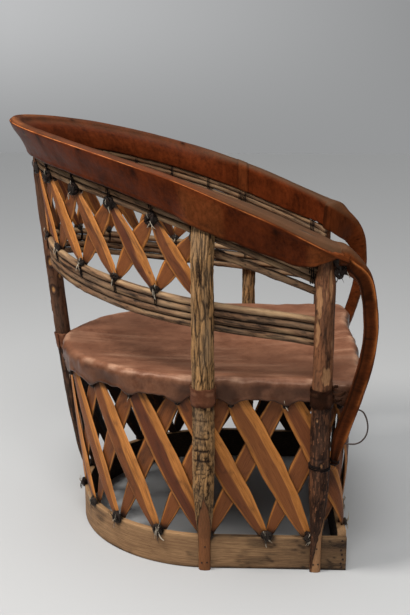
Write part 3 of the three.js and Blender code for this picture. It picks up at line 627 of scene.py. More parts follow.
def make_post(name, seed, finish, golden, foot_cut, knots=(), ovals=(), rings=(), pale_skin=0.0):
    """A bark-on post. golden is how deeply the bark is furrowed; knots, ovals and rings are the
    places of lens scars, peeled patches and cracks, and foot_cut is the top, slope and side of the
    whittled foot."""
    radius = POSTS[name][3]
    height, angle = grid(np.linspace(0.2, post_top(name), 520), np.linspace(0, math.tau, 128, endpoint=False))
    coords = vec(radius * np.cos(angle), radius * np.sin(angle), height)
    turned = wrapped(angle)

    def grown(cell, number):
        return noise(coords, cell, seed + number)

    warp = 5 * grown((14, 14, 45), 0)
    low_bark = smooth(RIDGED_TOP, RIDGED_FOOT, height) * (golden > 0.5)
    count = round(radius * math.tau / FURROW_STEP)
    net = 0
    for lean_by, strength in ((1, 1), (-1, 0.9)):
        line = count * angle / math.tau + lean_by * height / FURROW_LEAN + 0.08 * warp
        line = line + 0.3 * grown((9, 9, 30), 1 + lean_by)
        gap = np.abs(line - np.round(line)) * FURROW_STEP
        kept = smooth(-0.6, 0.2, grown((7, 7, 34), 21 + lean_by))
        net = np.maximum(net, strength * kept * bell(gap, mix(1.6, 1.0, low_bark)))
    net = net * (1 - 0.45 * low_bark)
    splits = 0.75 * furrows(coords, (2.2, 2.2, 30), seed + 3, 0.2)
    chips = 0.6 * furrows(coords, (2.8, 2.8, 8), seed + 12, 0.24)
    fine = furrows(coords, (4, 4, 22), seed + 4, 0.2)
    furrow = golden * np.maximum(net, mix(splits, chips, low_bark)) + (1 - golden) * 0.45 * fine
    lumps = grown((26, 26, 60), 5) + 0.5 * grown((11, 11, 18), 6)
    lift = 0.6 - mix(0.9, 2.4, golden) * furrow + lumps
    level = 0.84 - 0.85 * furrow + 0.2 * grown((3, 3, 40), 20)
    level = level - 0.35 * low_bark * smooth(-0.3, 0.6, grown((6, 6, 13), 15))
    level = level - 0.35 * smooth(0.1, 0.9, grown((9, 9, 50), 13))
    below = smooth(RIDGED_TOP, 350, height) * (1 - low_bark)
    level = level - below * (0.5 + 0.3 * grown((4, 4, 12), 14))
    level = level + 0.9 * below * smooth(0.5, 0.75, grown((2.2, 2.2, 6), 16))
    blotches = grown((7, 7, 32), 17) + 0.5 * grown((3, 3, 12), 18)
    peeled = pale_skin * 0.55 * smooth(0.4, 1.1, blotches) * (1 - smooth(RIDGED_TOP, 370, height))
    scars = 0 * height
    ragged = grown((5, 5, 9), 7)
    for at_angle, at_height, wide, tall in ovals:
        across = wrapped(turned - at_angle) * radius
        spread = (across / wide) ** 2 + ((height - at_height) / tall) ** 2
        spread = spread + 0.6 * ragged + 0.5 * grown((2.4, 2.4, 14), 19)
        peeled = np.maximum(peeled, 0.9 * smooth(1.5, 0.5, spread))
        scars = np.maximum(scars, 0.4 * bell(spread - 1.4, 0.2))
    for at_angle, at_height, size in knots:
        across = wrapped(turned - at_angle) * radius
        spread = np.hypot(across / size, (height - at_height) / (1.7 * size)) + 0.12 * ragged
        lift = lift + 1.3 * bell(spread - 1, 0.3) - 0.8 * bell(spread, 0.5)
        peeled = np.maximum(peeled, 0.85 * smooth(0.62, 0.3, spread))
        scars = np.maximum(scars, 0.75 * bell(spread - 0.85, 0.16))
    for at_height, strength in rings:
        bent = at_height + 2.5 * grown((9, 9, 400), 8)
        crack = strength * bell(height - bent, 2.4) * smooth(-0.5, 0.1, grown((11, 11, 300), 9))
        scars = np.maximum(scars, crack)
        lift = lift - 1.6 * crack
    apex, slope, lean = foot_cut
    side = np.abs(turned - lean)
    edge = apex - slope * side + 7 * ragged
    cut = smooth(2, -2, height - edge) * (side < 1.9)
    cut_line = bell(height - edge - 3, 4) * (side < 1.9)
    split = bell(turned - lean, 0.05) * smooth(6, -4, height - apex - 34) * (1 - cut) * (golden > 0.5)
    scars = np.maximum(scars * (1 - cut), np.maximum(0.85 * cut_line, 0.8 * split))
    bare = np.maximum(cut, peeled)
    lift = mix(lift, 0.35 * grown((9, 9, 70), 10) - 1.4, bare)
    lift = mix(np.minimum(lift, 0.2), lift, smooth(80, 120, height))
    lift[np.cos(angle) < -0.2] *= 0.6
    stem = skin(post_surface(name, height, angle, lift), coords + seed * 37.3, marked(level, bare, scars))
    piece(name + "_wood", [stem], finish, [name])


make_post("post_back", 11, dark_bark, 0.0, (150, 60, 0),
          knots=[(1.55, 552, 9), (1.45, 490, 8), (-1.2, 610, 7), (0.3, 450, 6), (2.6, 520, 6)])
make_post("post_right_middle", 23, golden_bark, 1.0, (166, 62, 0.05),
          rings=[(291, 0.9), (266, 1.0), (246, 0.9), (328, 0.6)])
make_post("post_right_front", 37, red_bark, 0.25, (132, 64, 1.15),
          ovals=[(-0.75, 560, 8, 30), (-0.8, 500, 5, 24), (0.25, 418, 8, 17), (0.5, 590, 4, 26),
                 (2.4, 520, 7, 22)],
          knots=[(0.1, 240, 5), (-0.5, 330, 4)], rings=[(252, 0.7)], pale_skin=1.0)
make_post("post_left_middle", 41, golden_bark, 1.0, (170, 60, 0),
          rings=[(300, 0.9), (272, 0.8)])
make_post("post_left_front", 53, red_bark, 0.3, (150, 60, 0.4),
          ovals=[(2.7, 560, 7, 26), (0.4, 480, 6, 16), (3.0, 430, 6, 14)],
          knots=[(0.5, 300, 6)], pale_skin=0.8)


# Lattice of split wood. A leaf is a table of shares of the way up, and of the width there.

LOW_LEAF = [[0, 0.1, 0.28, 0.52, 0.78, 1], [0.36, 0.62, 0.9, 1, 0.97, 0.7]]
HIGH_LEAF = [[0, 0.14, 0.42, 0.72, 1], [0.32, 0.7, 1, 0.88, 0.4]]
SECTION = np.array([
    [-0.5, 0.36], [-0.42, 0.18], [-0.34, 0.02], [-0.2, 0], [0, 0], [0.2, 0], [0.34, 0.02], [0.42, 0.18],
    [0.5, 0.36], [0.49, 0.43], [0.45, 0.51], [0.37, 0.64], [0.29, 0.77], [0.21, 0.89], [0.165, 0.96],
    [0.125, 0.99], [0.07, 1.0], [-0.03, 1.01], [-0.14, 1.01], [-0.25, 1.0], [-0.33, 0.97], [-0.37, 0.9],
    [-0.41, 0.79], [-0.455, 0.61], [-0.485, 0.47],
])
SLAT_LENGTH, END_ROOM, LOW_LEAN = 330, 0.7, 1.5
CORNER_SHARE = 0.5 - HALF_WIDTH / ROUND


def low_strip(foot_height):
    """The strip between the base and the seat hoop: place and way out, by share and rise"""
    def strip(share, rise):
        low, _, low_out = wall(share, 0, SLAT_FOOT)
        high, _, high_out = wall(share, HOOP_HEIGHT)
        low = low - low_out * (LOW_GAP / 2 + LOW_THICKNESS)
        high = high - high_out * (HOOP_INSET + 2)
        place = mix(low, high, rise[..., None])
        place[..., 2] = mix(foot_height + CLEARANCE, HOOP_HEIGHT - HOOP_RADIUS - CLEARANCE, rise)
        return place, unit(mix(low_out, high_out, rise[..., None]))
    return strip


def high_strip(share, rise):
    """The strip between the lower and the upper rods of the back"""
    low_top, high_drop = 3 * LOW_PITCH + LOW_ROD + END_ROOM, HIGH_DROP + HIGH_ROD + END_ROOM
    low, _, low_out = on_slope(low_rail_height, share, -low_top, -CLEARANCE - LOW_ROD)
    high, _, high_out = on_slope(rim_height, share, high_drop, -CLEARANCE - HIGH_ROD)
    return mix(low, high, rise[..., None]), unit(mix(low_out, high_out, rise[..., None]))


def slat(strip, start, end, layer, width, thickness, gap, leaf, seed, inner_shade=0.0):
    """A split slat between two hoops. Its width follows the leaf's table of shares, its section is
    a lens with a flat top and long bevels, and its faces carry the marks of the knife."""
    rise = np.linspace(0, 1, 64)[:, None]
    leaf_width = np.pad(np.interp(rise[:, 0], *leaf), 3, mode="edge")
    leaf_width = np.convolve(leaf_width, np.ones(7) / 7, "valid")[:, None]
    side, depth = SECTION.T
    up = rise * SLAT_LENGTH
    base = vec(side * width, depth * thickness, up) + seed * 91.7
    edge_wave = 1 + 0.05 * noise(vec(np.sign(side) * 40, 0, up) + seed * 9.1, (20, 20, 42), seed)
    ridge_shift = 0.1 * noise(vec(0, 0, up), (30, 30, 110), seed + 3) * (1 - np.abs(side) * 2) * depth
    across = (side * edge_wave + ridge_shift) * leaf_width * width
    place, out = strip(mix(start, end, rise) + across / ROUND, rise)
    knife = 0.4 * noise(base, (8, 8, 38), seed + 1) + 0.2 * noise(base, (5, 5, 14), seed + 2)
    thinned = 1 - 0.25 * smooth(0.12, 0, rise) - 0.2 * smooth(0.9, 1, rise)
    outward = gap / 2 + depth * thickness * thinned + knife * (depth > 0.3)
    points = place + out * (layer * outward)[..., None]
    ridge_at = 0.15 + 0.05 * math.sin(seed * 1.7) + 0.035 * noise(base * UP, (9, 9, 60), seed + 4)
    heart = smooth(ridge_at + 0.025, ridge_at - 0.02, side) * smooth(-0.39, -0.35, side) * (depth > 0.85)
    tone = 0.86 + 0.14 * math.sin(seed * 2.3)
    heart = heart * tone * smooth(0.0, 0.06, rise) + 0.8 * (depth < 0.1)
    dirt_and_shade = 0.8 * smooth(0.07, 0.0, rise) + 0.9 * smooth(0.88, 1.0, rise)
    dirt_and_shade = dirt_and_shade + max(0.0, 0.08 + 0.16 * math.sin(seed * 3.7))
    dirt_and_shade = dirt_and_shade + 0.35 * smooth(0.2, 0.9, noise(base, (20, 20, 50), seed + 6))
    dirt_and_shade = dirt_and_shade + 0.3 * furrows(base, (3.5, 60, 70), seed + 8, 0.12) + 0.25 * bell(side + 0.49, 0.03)
    # Painted shade: the faces that look into the chair, under the seat, are darkened by inner_shade.
    dirt_and_shade = dirt_and_shade + inner_shade * ((depth > 0.3) if layer < 0 else (depth < 0.1))
    # The bright line on the right edge is a painted highlight as well as rubbed wear.
    rubbed = 0.75 * bell(side - 0.47, 0.035) + 0.5 * bell(side - ridge_at, 0.02) * (depth > 0.8)
    return skin(points, base, marked(heart, dirt_and_shade, rubbed))


low_knots = []
for pair in range(STATIONS // 2):
    for layer, label in LAYERS:
        skins = []
        for station in (2 * pair, 2 * pair + 1):
            bottom = (station + 0.5 + NODE_SHIFTS[station]) / STATIONS
            top = (station + 0.5 - layer * LOW_LEAN) / STATIONS
            on_board = CORNER_SHARE < bottom < 1 - CORNER_SHARE
            strip = low_strip(BOARD_HEIGHT if on_board else BAND_HEIGHT)
            skins.append(slat(strip, bottom - layer * LOW_SHIFT / ROUND, top, layer, LOW_WIDTH[layer],
                              LOW_THICKNESS, LOW_GAP, LOW_LEAF, station * 2 + (layer > 0), inner_shade=0.75))
            if layer > 0:
                low_knots.append((bottom, on_board))
        place_name = f"{label}_{pair + 1:02d}"
        piece(f"split_slats_{place_name}", skins, split_wood, [f"seat_slats_{place_name}"])

BAY = (LAST_SHARE - FIRST_SHARE) / BAYS
for group in range(BAYS // 3):
    for layer, label in LAYERS:
        skins = []
        for step in range(3 * group, 3 * group + 3):
            left = FIRST_SHARE + step * BAY + HIGH_SHIFT / ROUND
            right = left + BAY - 2 * HIGH_SHIFT / ROUND
            start, end = (right, left) if layer > 0 else (left, right)
            skins.append(slat(high_strip, start, end, layer, HIGH_WIDTH[layer], HIGH_THICKNESS, HIGH_GAP,
                              HIGH_LEAF, 100 + step * 2 + (layer > 0), inner_shade=0.3 * (layer < 0)))
        place_name = f"{label}_{group + 1}"
        piece(f"back_leaves_{place_name}", skins, split_wood, [f"back_slats_{place_name}"])


# Rods

def at_post(name, tail, height):
    """Share of the way round a post, and past it by a tail in mm, from -0.5 to 0.5"""
    share = float(post_share(name, height)) + tail / ROUND
    return share - 1 if share > 0.5 else share


def front_span(height, tail):
    """Shares from the left front post round the back to the right one, each passed by a tail"""
    return at_post("post_left_front", -tail, height), at_post("post_right_front", tail, height)


def bark_rod(name, node_name, shares, height_above, drop, radius, seed, pale=0.0, out_by=None):
    """A bent rod with its bark: a tube along a hoop, which wanders and swells by small random
    amounts and has buds"""
    share = np.linspace(*shares, 260)
    path, _, out = on_slope(height_above, share, drop, -CLEARANCE - radius if out_by is None else out_by)
    run = vec(share * ROUND, 0, 0) + seed * 13.1
    path = path + 0.8 * out * noise(run, 55, seed)[:, None] + 0.7 * UP * noise(run, 70, seed + 1)[:, None]
    swell = radius * (1 + 0.05 * noise(run, 30, seed + 2))
    for bud in np.random.default_rng(seed).uniform(share[0], share[-1], 7):
        swell = swell + 0.9 * bell((share - bud) * ROUND, 6)
    points, grain = tube(path, swell * 0.99, 20, seed=seed)
    crust = noise(grain, (2.6, 2.6, 16), seed + 3)
    centre = points.mean(1, keepdims=True)
    points = centre + (points - centre) * (1 + 0.035 * crust[..., None])
    upright = (points[..., 2] - centre[..., 2]) / radius
    rubbed = smooth(0.1, 0.7, noise(grain, (7, 7, 60), seed + 4)) * (0.35 + pale)
    top_wear = smooth(-0.3, 0.5, upright) * smooth(-0.7, 0.3, noise(grain, (9, 9, 50), seed + 6))
    cracks = furrows(grain, (2.4, 2.4, 40), seed + 5, 0.14) * 0.6
    # Painted shade along the top and bottom of each rod, where the rods of a rail lie on one another.
    dark_line = 0.85 * smooth(0.62, 0.95, np.abs(upright)) * (1 - pale * (upright > 0))
    marks = marked(0.62 + 0.3 * crust + pale * 0.5 - cracks, np.maximum(rubbed, 1.3 * pale * top_wear),
                   dark_line + 0.4 * cracks, top=[1, 0.9, 0.92])
    piece(name, [skin(points, grain, marks)], rod_bark, [node_name])


low_span = front_span(low_rail_height(FOOT_FRONT), ROD_TAIL)
high_span = front_span(RIM_HEIGHT, ROD_TAIL)
rim_start, rim_stop = front_span(RIM_HEIGHT, RIM_TAIL)
HIGH_DROPS = [HIGH_DROP - rod * HIGH_PITCH for rod in range(3)]
for rod in range(4):
    bark_rod(f"low_rod_{rod + 1}", f"low_rail_rod_{rod + 1}", low_span, low_rail_height, -rod * LOW_PITCH,
             LOW_ROD, 200 + rod * 10, pale=0.6 if rod == 3 else 0.0)
for rod, drop in enumerate(HIGH_DROPS):
    bark_rod(f"high_rod_{rod + 1}", f"high_rail_rod_{rod + 1}", high_span, rim_height, drop,
             HIGH_ROD, 250 + rod * 10, pale=0.15)
bark_rod("short_rod_right", "arm_rod_right", (at_post("post_right_middle", -4, RIM_HEIGHT), high_span[1]),
         arm_rod_height, 0, ARM_ROD, 290, pale=0.1)
bark_rod("short_rod_left", "arm_rod_left", (high_span[0], at_post("post_left_middle", 4, RIM_HEIGHT)),
         arm_rod_height, 0, ARM_ROD, 300, pale=0.1)

hoop_share = np.linspace(0, 1, 360, endpoint=False)
hoop_path, _, hoop_out = wall(hoop_share, HOOP_HEIGHT)
hoop_angle = np.linspace(0, math.tau, 16, endpoint=False)
hoop_centre = hoop_path - hoop_out * HOOP_INSET
across, over = HOOP_RADIUS * np.cos(hoop_angle), HOOP_RADIUS * np.sin(hoop_angle)
hoop_points = hoop_centre[:, None] + hoop_out[:, None] * across[:, None] + UP * over[:, None]
hoop_grain = vec(across, over, (hoop_share * ROUND)[:, None])
piece("hoop_wood", [skin(hoop_points, hoop_grain, np.full_like(hoop_points, 0.2), loop=True)],
      rod_bark, ["seat_hoop"])


# Base

EDGE_ROUND = 1.6


def base_profile(thickness, height):
    """Rounded rectangle as points (out, up), from the inner foot round the top and down outside:
    quarter circles, and straight runs between them"""
    reach, low, high = thickness / 2 - EDGE_ROUND, EDGE_ROUND, height - EDGE_ROUND
    arcs = []
    for x, z, last in ((-reach, low, 2), (-reach, high, 1), (reach, high, 0), (reach, low, -1)):
        turn = np.linspace(last + 1, last, 5) * math.pi / 2
        arcs.append(vec(x + EDGE_ROUND * np.cos(turn), z + EDGE_ROUND * np.sin(turn)))
    run = np.linspace(0, 1, 14)[1:-1, None]
    sides = [mix(arcs[i][-1], arcs[(i + 1) % 4][0], run) for i in range(4)]
    return np.concatenate([part for both in zip(arcs, sides) for part in both]).T


def knot_stain(place, height):
    """Dark drips below the lashings: a spot round each knot's foot that runs down the wood"""
    total = 0
    for number, (share, _) in enumerate(low_knots):
        gap = np.linalg.norm(place[..., :2] - wall(share, 0)[0][:2], axis=-1)
        long = 18 + 14 * ((number * 7) % 5) / 5
        total = total + bell(gap, 11) * smooth(-long, 6, height - BAND_HEIGHT)
    return np.clip(total, 0, 1)


turn = np.linspace(0, math.pi, 280)
straight = np.linspace(FOOT_FRONT, ROUND_START, 120)[:-1]
middle = HALF_WIDTH - BAND_THICKNESS / 2
middle_back = FOOT_BACK - ROUND_START - BAND_THICKNESS / 2
path = np.concatenate([
    vec(middle, straight),
    vec(middle * np.cos(turn), ROUND_START + middle_back * np.sin(turn)),
    vec(-middle, straight[::-1]),
])
step = np.gradient(path, axis=0)
normal = unit(vec(step[:, 1], -step[:, 0]))
out, rise = base_profile(BAND_THICKNESS, BAND_HEIGHT)
band_grain = vec(rise, out, run_of(path)[:, None])
warp = 0.5 * noise(band_grain, (26, 40, 90), 61) + 0.18 * noise(band_grain, (4, 10, 60), 62)
top_wave = 1.2 * noise(band_grain * UP, (9, 9, 120), 63) * smooth(50, 70, rise)
flat = path[:, None] + normal[:, None] * (out + np.sign(out) * warp * 0.6)[..., None]
band_points = vec(flat[..., 0], flat[..., 1], rise + (top_wave - 0.6) * (rise > 60))
# Painted shade: the inner face is darkened; the spots below the knots are stains.
stain_and_shade = knot_stain(band_points, band_points[..., 2]) * (out > -2) + 0.85 * (out < -4) * (rise < 69)
# Darker at random and at the foot, and painted shade that grows towards the front.
darkening = 0.35 * smooth(0.1, 0.8, noise(band_grain, (18, 30, 60), 64)) + 0.5 * smooth(8, 0, rise)
darkening = darkening + 0.5 * smooth(20, -240, band_points[..., 1]) + 0.3 * furrows(band_grain, (3, 9, 60), 65, 0.1)
band_marks = marked(0.3, stain_and_shade + darkening, 0.4 * bell(rise - 69, 2))
piece("bent_band", [skin(band_points, band_grain, band_marks)], base_wood, ["base_band"])

reach = HALF_WIDTH - BAND_THICKNESS - CLEARANCE
along = np.linspace(-reach, reach, 240)[:, None]
out, rise = base_profile(BOARD_THICKNESS, BOARD_HEIGHT)
board_grain = vec(rise, out + 300, along)
warp = 0.5 * noise(board_grain, (26, 40, 110), 71) + 0.15 * noise(board_grain, (4, 10, 60), 72)
front_face = FOOT_FRONT + BOARD_THICKNESS / 2 + 0.5 - out - np.sign(out) * warp * 0.5
board_points = vec(along, front_face, rise - 0.6 * (rise > 70))
# Painted shade: the inner face is darkened; the spots below the knots are stains.
stain_and_shade = knot_stain(board_points, board_points[..., 2] - 10) * (out > 0) + 0.85 * (out < -7) * (rise < 80)
darkening = 0.35 * smooth(0.1, 0.8, noise(board_grain, (18, 30, 70), 73))
board_marks = marked(0.25, stain_and_shade + darkening, 0.4 * bell(rise - 80, 2.5))
piece("front_plank", [skin(board_points, board_grain, board_marks)], base_wood,
      ["base_front_board"])


# Seat

def make_seat():
    """Stretched hide: a dish that falls by the sag times (1 - share squared) inside the hoop, a
    quarter circle over the hoop, and an apron with a tab at each node of the lattice"""
    share = np.arange(480) / 480
    place, _, out = wall(share, HOOP_HEIGHT)
    hoop = place - out * HOOP_INSET
    outer = HOOP_RADIUS + CLEARANCE + HIDE_THICKNESS
    crest = hoop + UP * outer
    middle = crest * UP + [0, 10.25, 0]
    rings = [mix(middle, crest, inward) - UP * HIDE_SAG * (1 - inward ** 2)
             for inward in np.linspace(0.02, 0.985, 46)]
    rings += [hoop + outer * (out * math.cos(angle) + UP * math.sin(angle))
              for angle in np.linspace(math.pi / 2, 0, 7)]
    tab = np.maximum(np.cos(math.tau * share * STATIONS), 0) ** 1.3
    run = vec(share * ROUND, 0, 0)
    drop = HEM_DROP + TAB_DROP * tab + 2.4 * noise(run, 24, 81) + 1.3 * noise(run, 9, 82)
    for down in np.linspace(0.1, 1, 14):
        level, _, outward = wall(share, HOOP_HEIGHT - drop * down)
        rings.append(level + outward * (outer - HOOP_INSET))
    points = np.array(rings)
    row = np.arange(len(rings))[:, None]
    front = smooth(-150, -272, points[..., 1]) * smooth(0.5, 1.0, np.minimum(row / 44, 1))
    corner = front * smooth(150, 250, np.abs(points[..., 0]))
    far_corner = front * smooth(100, 260, points[..., 0])
    grain = points + vec(9 * corner * np.sign(points[..., 0]), -7 * front - 5 * corner - 22 * far_corner, 0)
    height = grain[..., 2]
    flat = grain * [1, 1, 0]
    apron = smooth(46, 53, row)
    pucker = noise(vec(share * ROUND, height, 0), (16, 26, 9), 83)
    puffs = noise(vec(share * ROUND, height, 0), (38, 30, 9), 84)
    dents = noise(flat, (70, 130, 50), 85) + 0.4 * noise(flat, (26, 60, 50), 86)
    normals = sheet_normals(grain)
    normals = normals * np.sign(normals[20, 0, 2])
    tuck = smooth(HOOP_HEIGHT - 22, HOOP_HEIGHT - 40, height)
    roll, hem_roll = bell(row - 48, 2.2), bell(row - 64.5, 1.3)
    bulge = apron * (2.9 * pucker + 3.0 * puffs - 1.6 * tuck + 1.8 * hem_roll) + (1 - apron) * 1.2 * dents
    crease = 1.5 * roll * noise(grain, (26, 26, 40), 87)
    points = grain + normals * (np.clip(bulge, -3.2, 4.2) + crease)[..., None]
    streaks = noise(flat, (22, 150, 50), 89) + 0.5 * noise(flat, (7, 60, 50), 90)
    worn = 0.8 * roll * smooth(-0.2, 0.6, noise(points, (30, 30, 40), 88))
    worn = worn + 0.4 * smooth(0.1, 1.2, streaks) * (1 - apron)
    # Painted shade in the pucker hollows and towards the front of the apron; also darker to the hem and over
    # the apron.
    dark = 0.5 * smooth(HOOP_HEIGHT - 20, HOOP_HEIGHT - 42, height) + 0.3 * apron * smooth(0.0, 0.8, -pucker)
    dark = dark + 0.16 * (1 - apron) * smooth(0.3, 1.2, -streaks) + 0.5 * apron
    dark = dark + 0.2 * apron * smooth(80, -240, points[..., 1])
    marks = marked(worn, dark, 0.15 * (1 - apron), top=[1, 0.85, 1])
    inner = points - normals * HIDE_THICKNESS
    faces = ((points, inner[::-1]), (grain, grain[::-1] - 4), (marks, marks[::-1]))
    hide = skin(*(np.concatenate(both) for both in faces))
    piece("seat_cover", [hide], seat_hide, ["seat_hide"])


make_seat()


# Collars of hide round the posts at the seat

COLLAR_REACH, COLLAR_RADIUS, COLLAR_THICKNESS = math.radians(135), 20, 3


def make_collar(post, seed):
    """A band of hide round the outer side of a post, with a ragged hem and slits at its sides"""
    label = post.replace("post_", "")
    down, angle = grid(np.linspace(0, 1, 40), np.linspace(-COLLAR_REACH, COLLAR_REACH, 96))
    around = vec(angle * COLLAR_RADIUS, 0, 0) + seed * 7.7
    low = COLLAR_BOTTOM + 2.6 * noise(around, 7, seed) + 1.6 * noise(around, 2.6, seed + 1)
    high = COLLAR_BOTTOM + COLLAR_HEIGHT - 1 + 1.4 * noise(around, 8, seed + 2)
    height = mix(high, low, down)
    coords = vec(angle * COLLAR_RADIUS, height, 0)
    slit = bell(np.abs(angle) - 1.35, 0.07)
    lift = 3.4 + 0.8 * noise(coords, (9, 14, 9), seed + 3) - 1.6 * slit - 0.8 * smooth(0.75, 1, down)
    points = post_surface(post, height, angle, CLEARANCE + lift)
    stains = smooth(0.1, 0.8, noise(coords, (8, 9, 9), seed + 4))
    # The dark in the slit grooves is painted shade; the hide is also darker towards its hem and stained.
    dark = 0.9 * slit + 0.5 * smooth(0.8, 1, down) + 0.4 * stains
    worn = 0.5 * smooth(0.2, 0.8, noise(coords, (12, 10, 9), seed + 5))
    finish = strap_hide if "front" in post else worn_strap
    piece(f"collar_{label}", [thickened(points, COLLAR_THICKNESS, marked(worn, dark, 0.2), coords)],
          finish, [f"seat_collar_{label}"])


for number, post in enumerate(POSTS):
    make_collar(post, 300 + number * 17)


# Rim

RIM_GIRTH, RIM_CORE, RIM_THICKNESS = 150, 13.5, 3
RIM_SPOTS = ((0.062, 0.24), (0.085, 0.26), (0.178, 0.25), (0.13, 0.3), (0.29, 0.22), (-0.08, 0.62),
             (-0.2, 0.66), (0.02, 0.26))


def make_rim():
    """Leather folded over the rim rod. Its section runs from the outer hem up to a ridge, over the
    rod, and down inside; along the arms the top is broad and the ridge lies lower."""
    share = np.linspace(rim_start, rim_stop, 560)
    apart = np.abs(share)
    from_end = np.minimum(share - rim_start, rim_stop - share) * ROUND
    ease = np.sin(np.clip((from_end - 10) / 85, 0, 1) * math.pi / 2)
    full, full_in = mix(0.12, 1, ease), mix(0.86, 1, ease)
    broad = smooth(0.2, 0.27, apart)
    deep = mix(54, 67, smooth(0.13, 0.27, apart))
    to_post = [np.abs((share - float(post_share(name, RIM_HEIGHT)) + 0.5) % 1 - 0.5) for name in POSTS]
    bulge = 1 - smooth(20, 54, np.min(to_post, 0) * ROUND)
    run = vec(share * ROUND, 0, 0)
    hem = mix(15, 30.8, bulge) - RIM_OUT
    depth = deep * full + (1.8 * noise(run, 45, 91) + 0.9 * noise(run, 13, 92)) * smooth(0, 50, from_end)
    inner = mix(-10.3, -2 * CLEARANCE - 2 * HIGH_ROD - 2.5 - RIM_OUT, full_in)
    sag = 1.3 * noise(run, 60, 93)
    arm_rise = np.interp(apart, [0.2, 0.265, 0.292, 0.317, 0.337, 0.36], [3, 0.5, -2, -5.5, -8, -10])
    ridge_rise = mix(8.5, arm_rise, broad)
    ridge_out = mix(12.3, 14.4, broad)
    left_crest, right_crest = mix(-4, 5, smooth(0.1, 0.3, -share)), mix(-2, 0, smooth(0.02, 0.2, share))
    crest = np.where(share < 0, left_crest, right_crest)
    hollow = smooth(0.24, 0.1, apart)
    inner_drop = 50 + 1.4 * noise(run, 50, 94) + 0.6 * noise(run, 12, 95)
    section = [
        (mix(RIM_CORE, hem, full) + 1.5 * hollow, depth, 0),
        (mix(RIM_CORE, hem, full * 0.74) + 0.6 - 2.4 * hollow, depth * 0.74, 0),
        (mix(RIM_CORE, hem, full * 0.45) + 1.2 + 0.5 * sag - 3.6 * hollow, depth * 0.45, 0),
        (mix(RIM_CORE, hem, full * 0.2) + 0.8 - 2 * hollow, depth * 0.22, ridge_rise * 0.3),
        (mix(RIM_CORE, ridge_out, 0.6), 0, ridge_rise - 3.5),
        (ridge_out, 0, ridge_rise),
        (ridge_out - mix(2.6, 1.5, broad), 0, ridge_rise + mix(2.2, 5.5, broad)),
        (mix(RIM_CORE * 0.45, 8.4, broad), 0, mix(12.8, np.maximum(ridge_rise + 11, 6.8), broad)),
        (mix(-1.5, inner * 0.15, broad), 0, mix(13.6, 11.5, broad) + crest + 0.4 * sag * broad),
        (mix(-8.5, inner * 0.5, broad), 0, mix(11.3, 12.5, broad) + crest + 0.6 * sag * broad),
        (mix(-15.5, inner * 0.82, broad), mix(1, 0, broad) * full_in, mix(4.5, 10, broad) + crest),
        (mix(inner * 0.66, inner, broad), mix(9, 0, broad) * full_in, 5.5 * broad),
        (mix(inner * 0.86, inner - 0.5, broad), mix(22, 10, broad) * full_in, 0),
        (inner * mix(0.97, 1, broad) - 0.3, 37 * full_in, 0),
        (inner, inner_drop * full_in, 0),
    ]
    controls = np.array([
        on_slope(rim_height, share, drop, RIM_OUT + out)[0] + UP * (rise + 0 * share)[:, None]
        for out, drop, rise in section])
    sheet = curve_through(controls, 84).transpose(1, 0, 2)
    down = np.linspace(0, 1, 84)
    coords = vec(run[:, :1], down * RIM_GIRTH, 0)
    normals = sheet_normals(sheet)
    outward = np.sign(np.einsum("ij,ij->", normals[:, 20], sheet[:, 20] - sheet[:, 70]))
    waves = 0.9 * noise(coords, (34, 50, 9), 96) + 0.35 * noise(coords, (12, 16, 9), 97)
    flap = smooth(0.34, 0.2, down)
    folds = 0.5 * (noise(run, (7, 9, 9), 98) * smooth(0.5, 0.95, bulge))[:, None] * flap
    lap_gap = (share[:, None] + 0.2645) * ROUND
    lap = smooth(-9, -7, lap_gap) * smooth(14, 12, lap_gap)
    swell = waves * (0.4 + 0.6 * flap) + folds + 1.2 * lap * (down > 0.3)
    hem_line = 0.6 * bell(down - 0.035, 0.012)
    sheet = sheet + outward * normals * (np.clip(swell, -1.4, 2.4) - hem_line)[..., None]
    back, broad = hollow[:, None], broad[:, None]
    ridge = bell(down - 5 / 14, 0.013) * smooth(-0.6, 0.3, noise(coords, (22, 200, 9), 99) + 0.3)
    ridge = ridge * (0.85 + 0.9 * back * smooth(-0.5, 0.2, noise(coords, (11, 200, 9), 102)))
    top_wear = bell(down - 0.5, 0.08) * smooth(-0.2, 0.6, noise(coords, (50, 40, 9), 100))
    worn = ridge + 0.4 * back * top_wear + 0.12 * smooth(0.3, 0.9, bulge)[:, None] * flap
    worn = worn + 0.06 * lap * (down > 0.5)
    dust = smooth(0.36, 0.42, down) * smooth(0.80, 0.70, down) * mix(0.3, 0.75, broad)
    spots = sum(bell((share[:, None] - at) * ROUND, 5) * bell((down - level) * RIM_GIRTH, 7)
                for at, level in RIM_SPOTS)
    stitches = bell((down - 0.30) * RIM_GIRTH, 1.6) * bell(run[:, :1] % 31 - 15.5, 2.2)
    edge = bell(down * RIM_GIRTH, 2.4) + bell((1 - down) * RIM_GIRTH, 2.4)
    shade = 0.5 * smooth(0.2, 0.9, noise(coords, (70, 60, 9), 101))
    dark_line = (bell(lap_gap + 9, 1.8) + bell(lap_gap - 13, 1.5)) * (down > 0.5)
    dark = 0.9 * spots + 0.35 * stitches + 0.45 * edge + 0.35 * shade * flap + 0.5 * dark_line
    marks = marked(worn, dark, dust, top=[1, 0.92, 1])
    piece("rim_cover", [thickened(sheet, RIM_THICKNESS * outward, marks, coords)], rim_leather,
          ["rim_leather"])


make_rim()
bark_rod("ridge_rod", "rim_rod", (rim_start + 1 / ROUND, rim_stop - 1 / ROUND), rim_height, 0, RIM_ROD, 320,
         out_by=RIM_OUT)


# Arm bows. BOW is shares of the way down and of the reach forward; the sections are out and up.

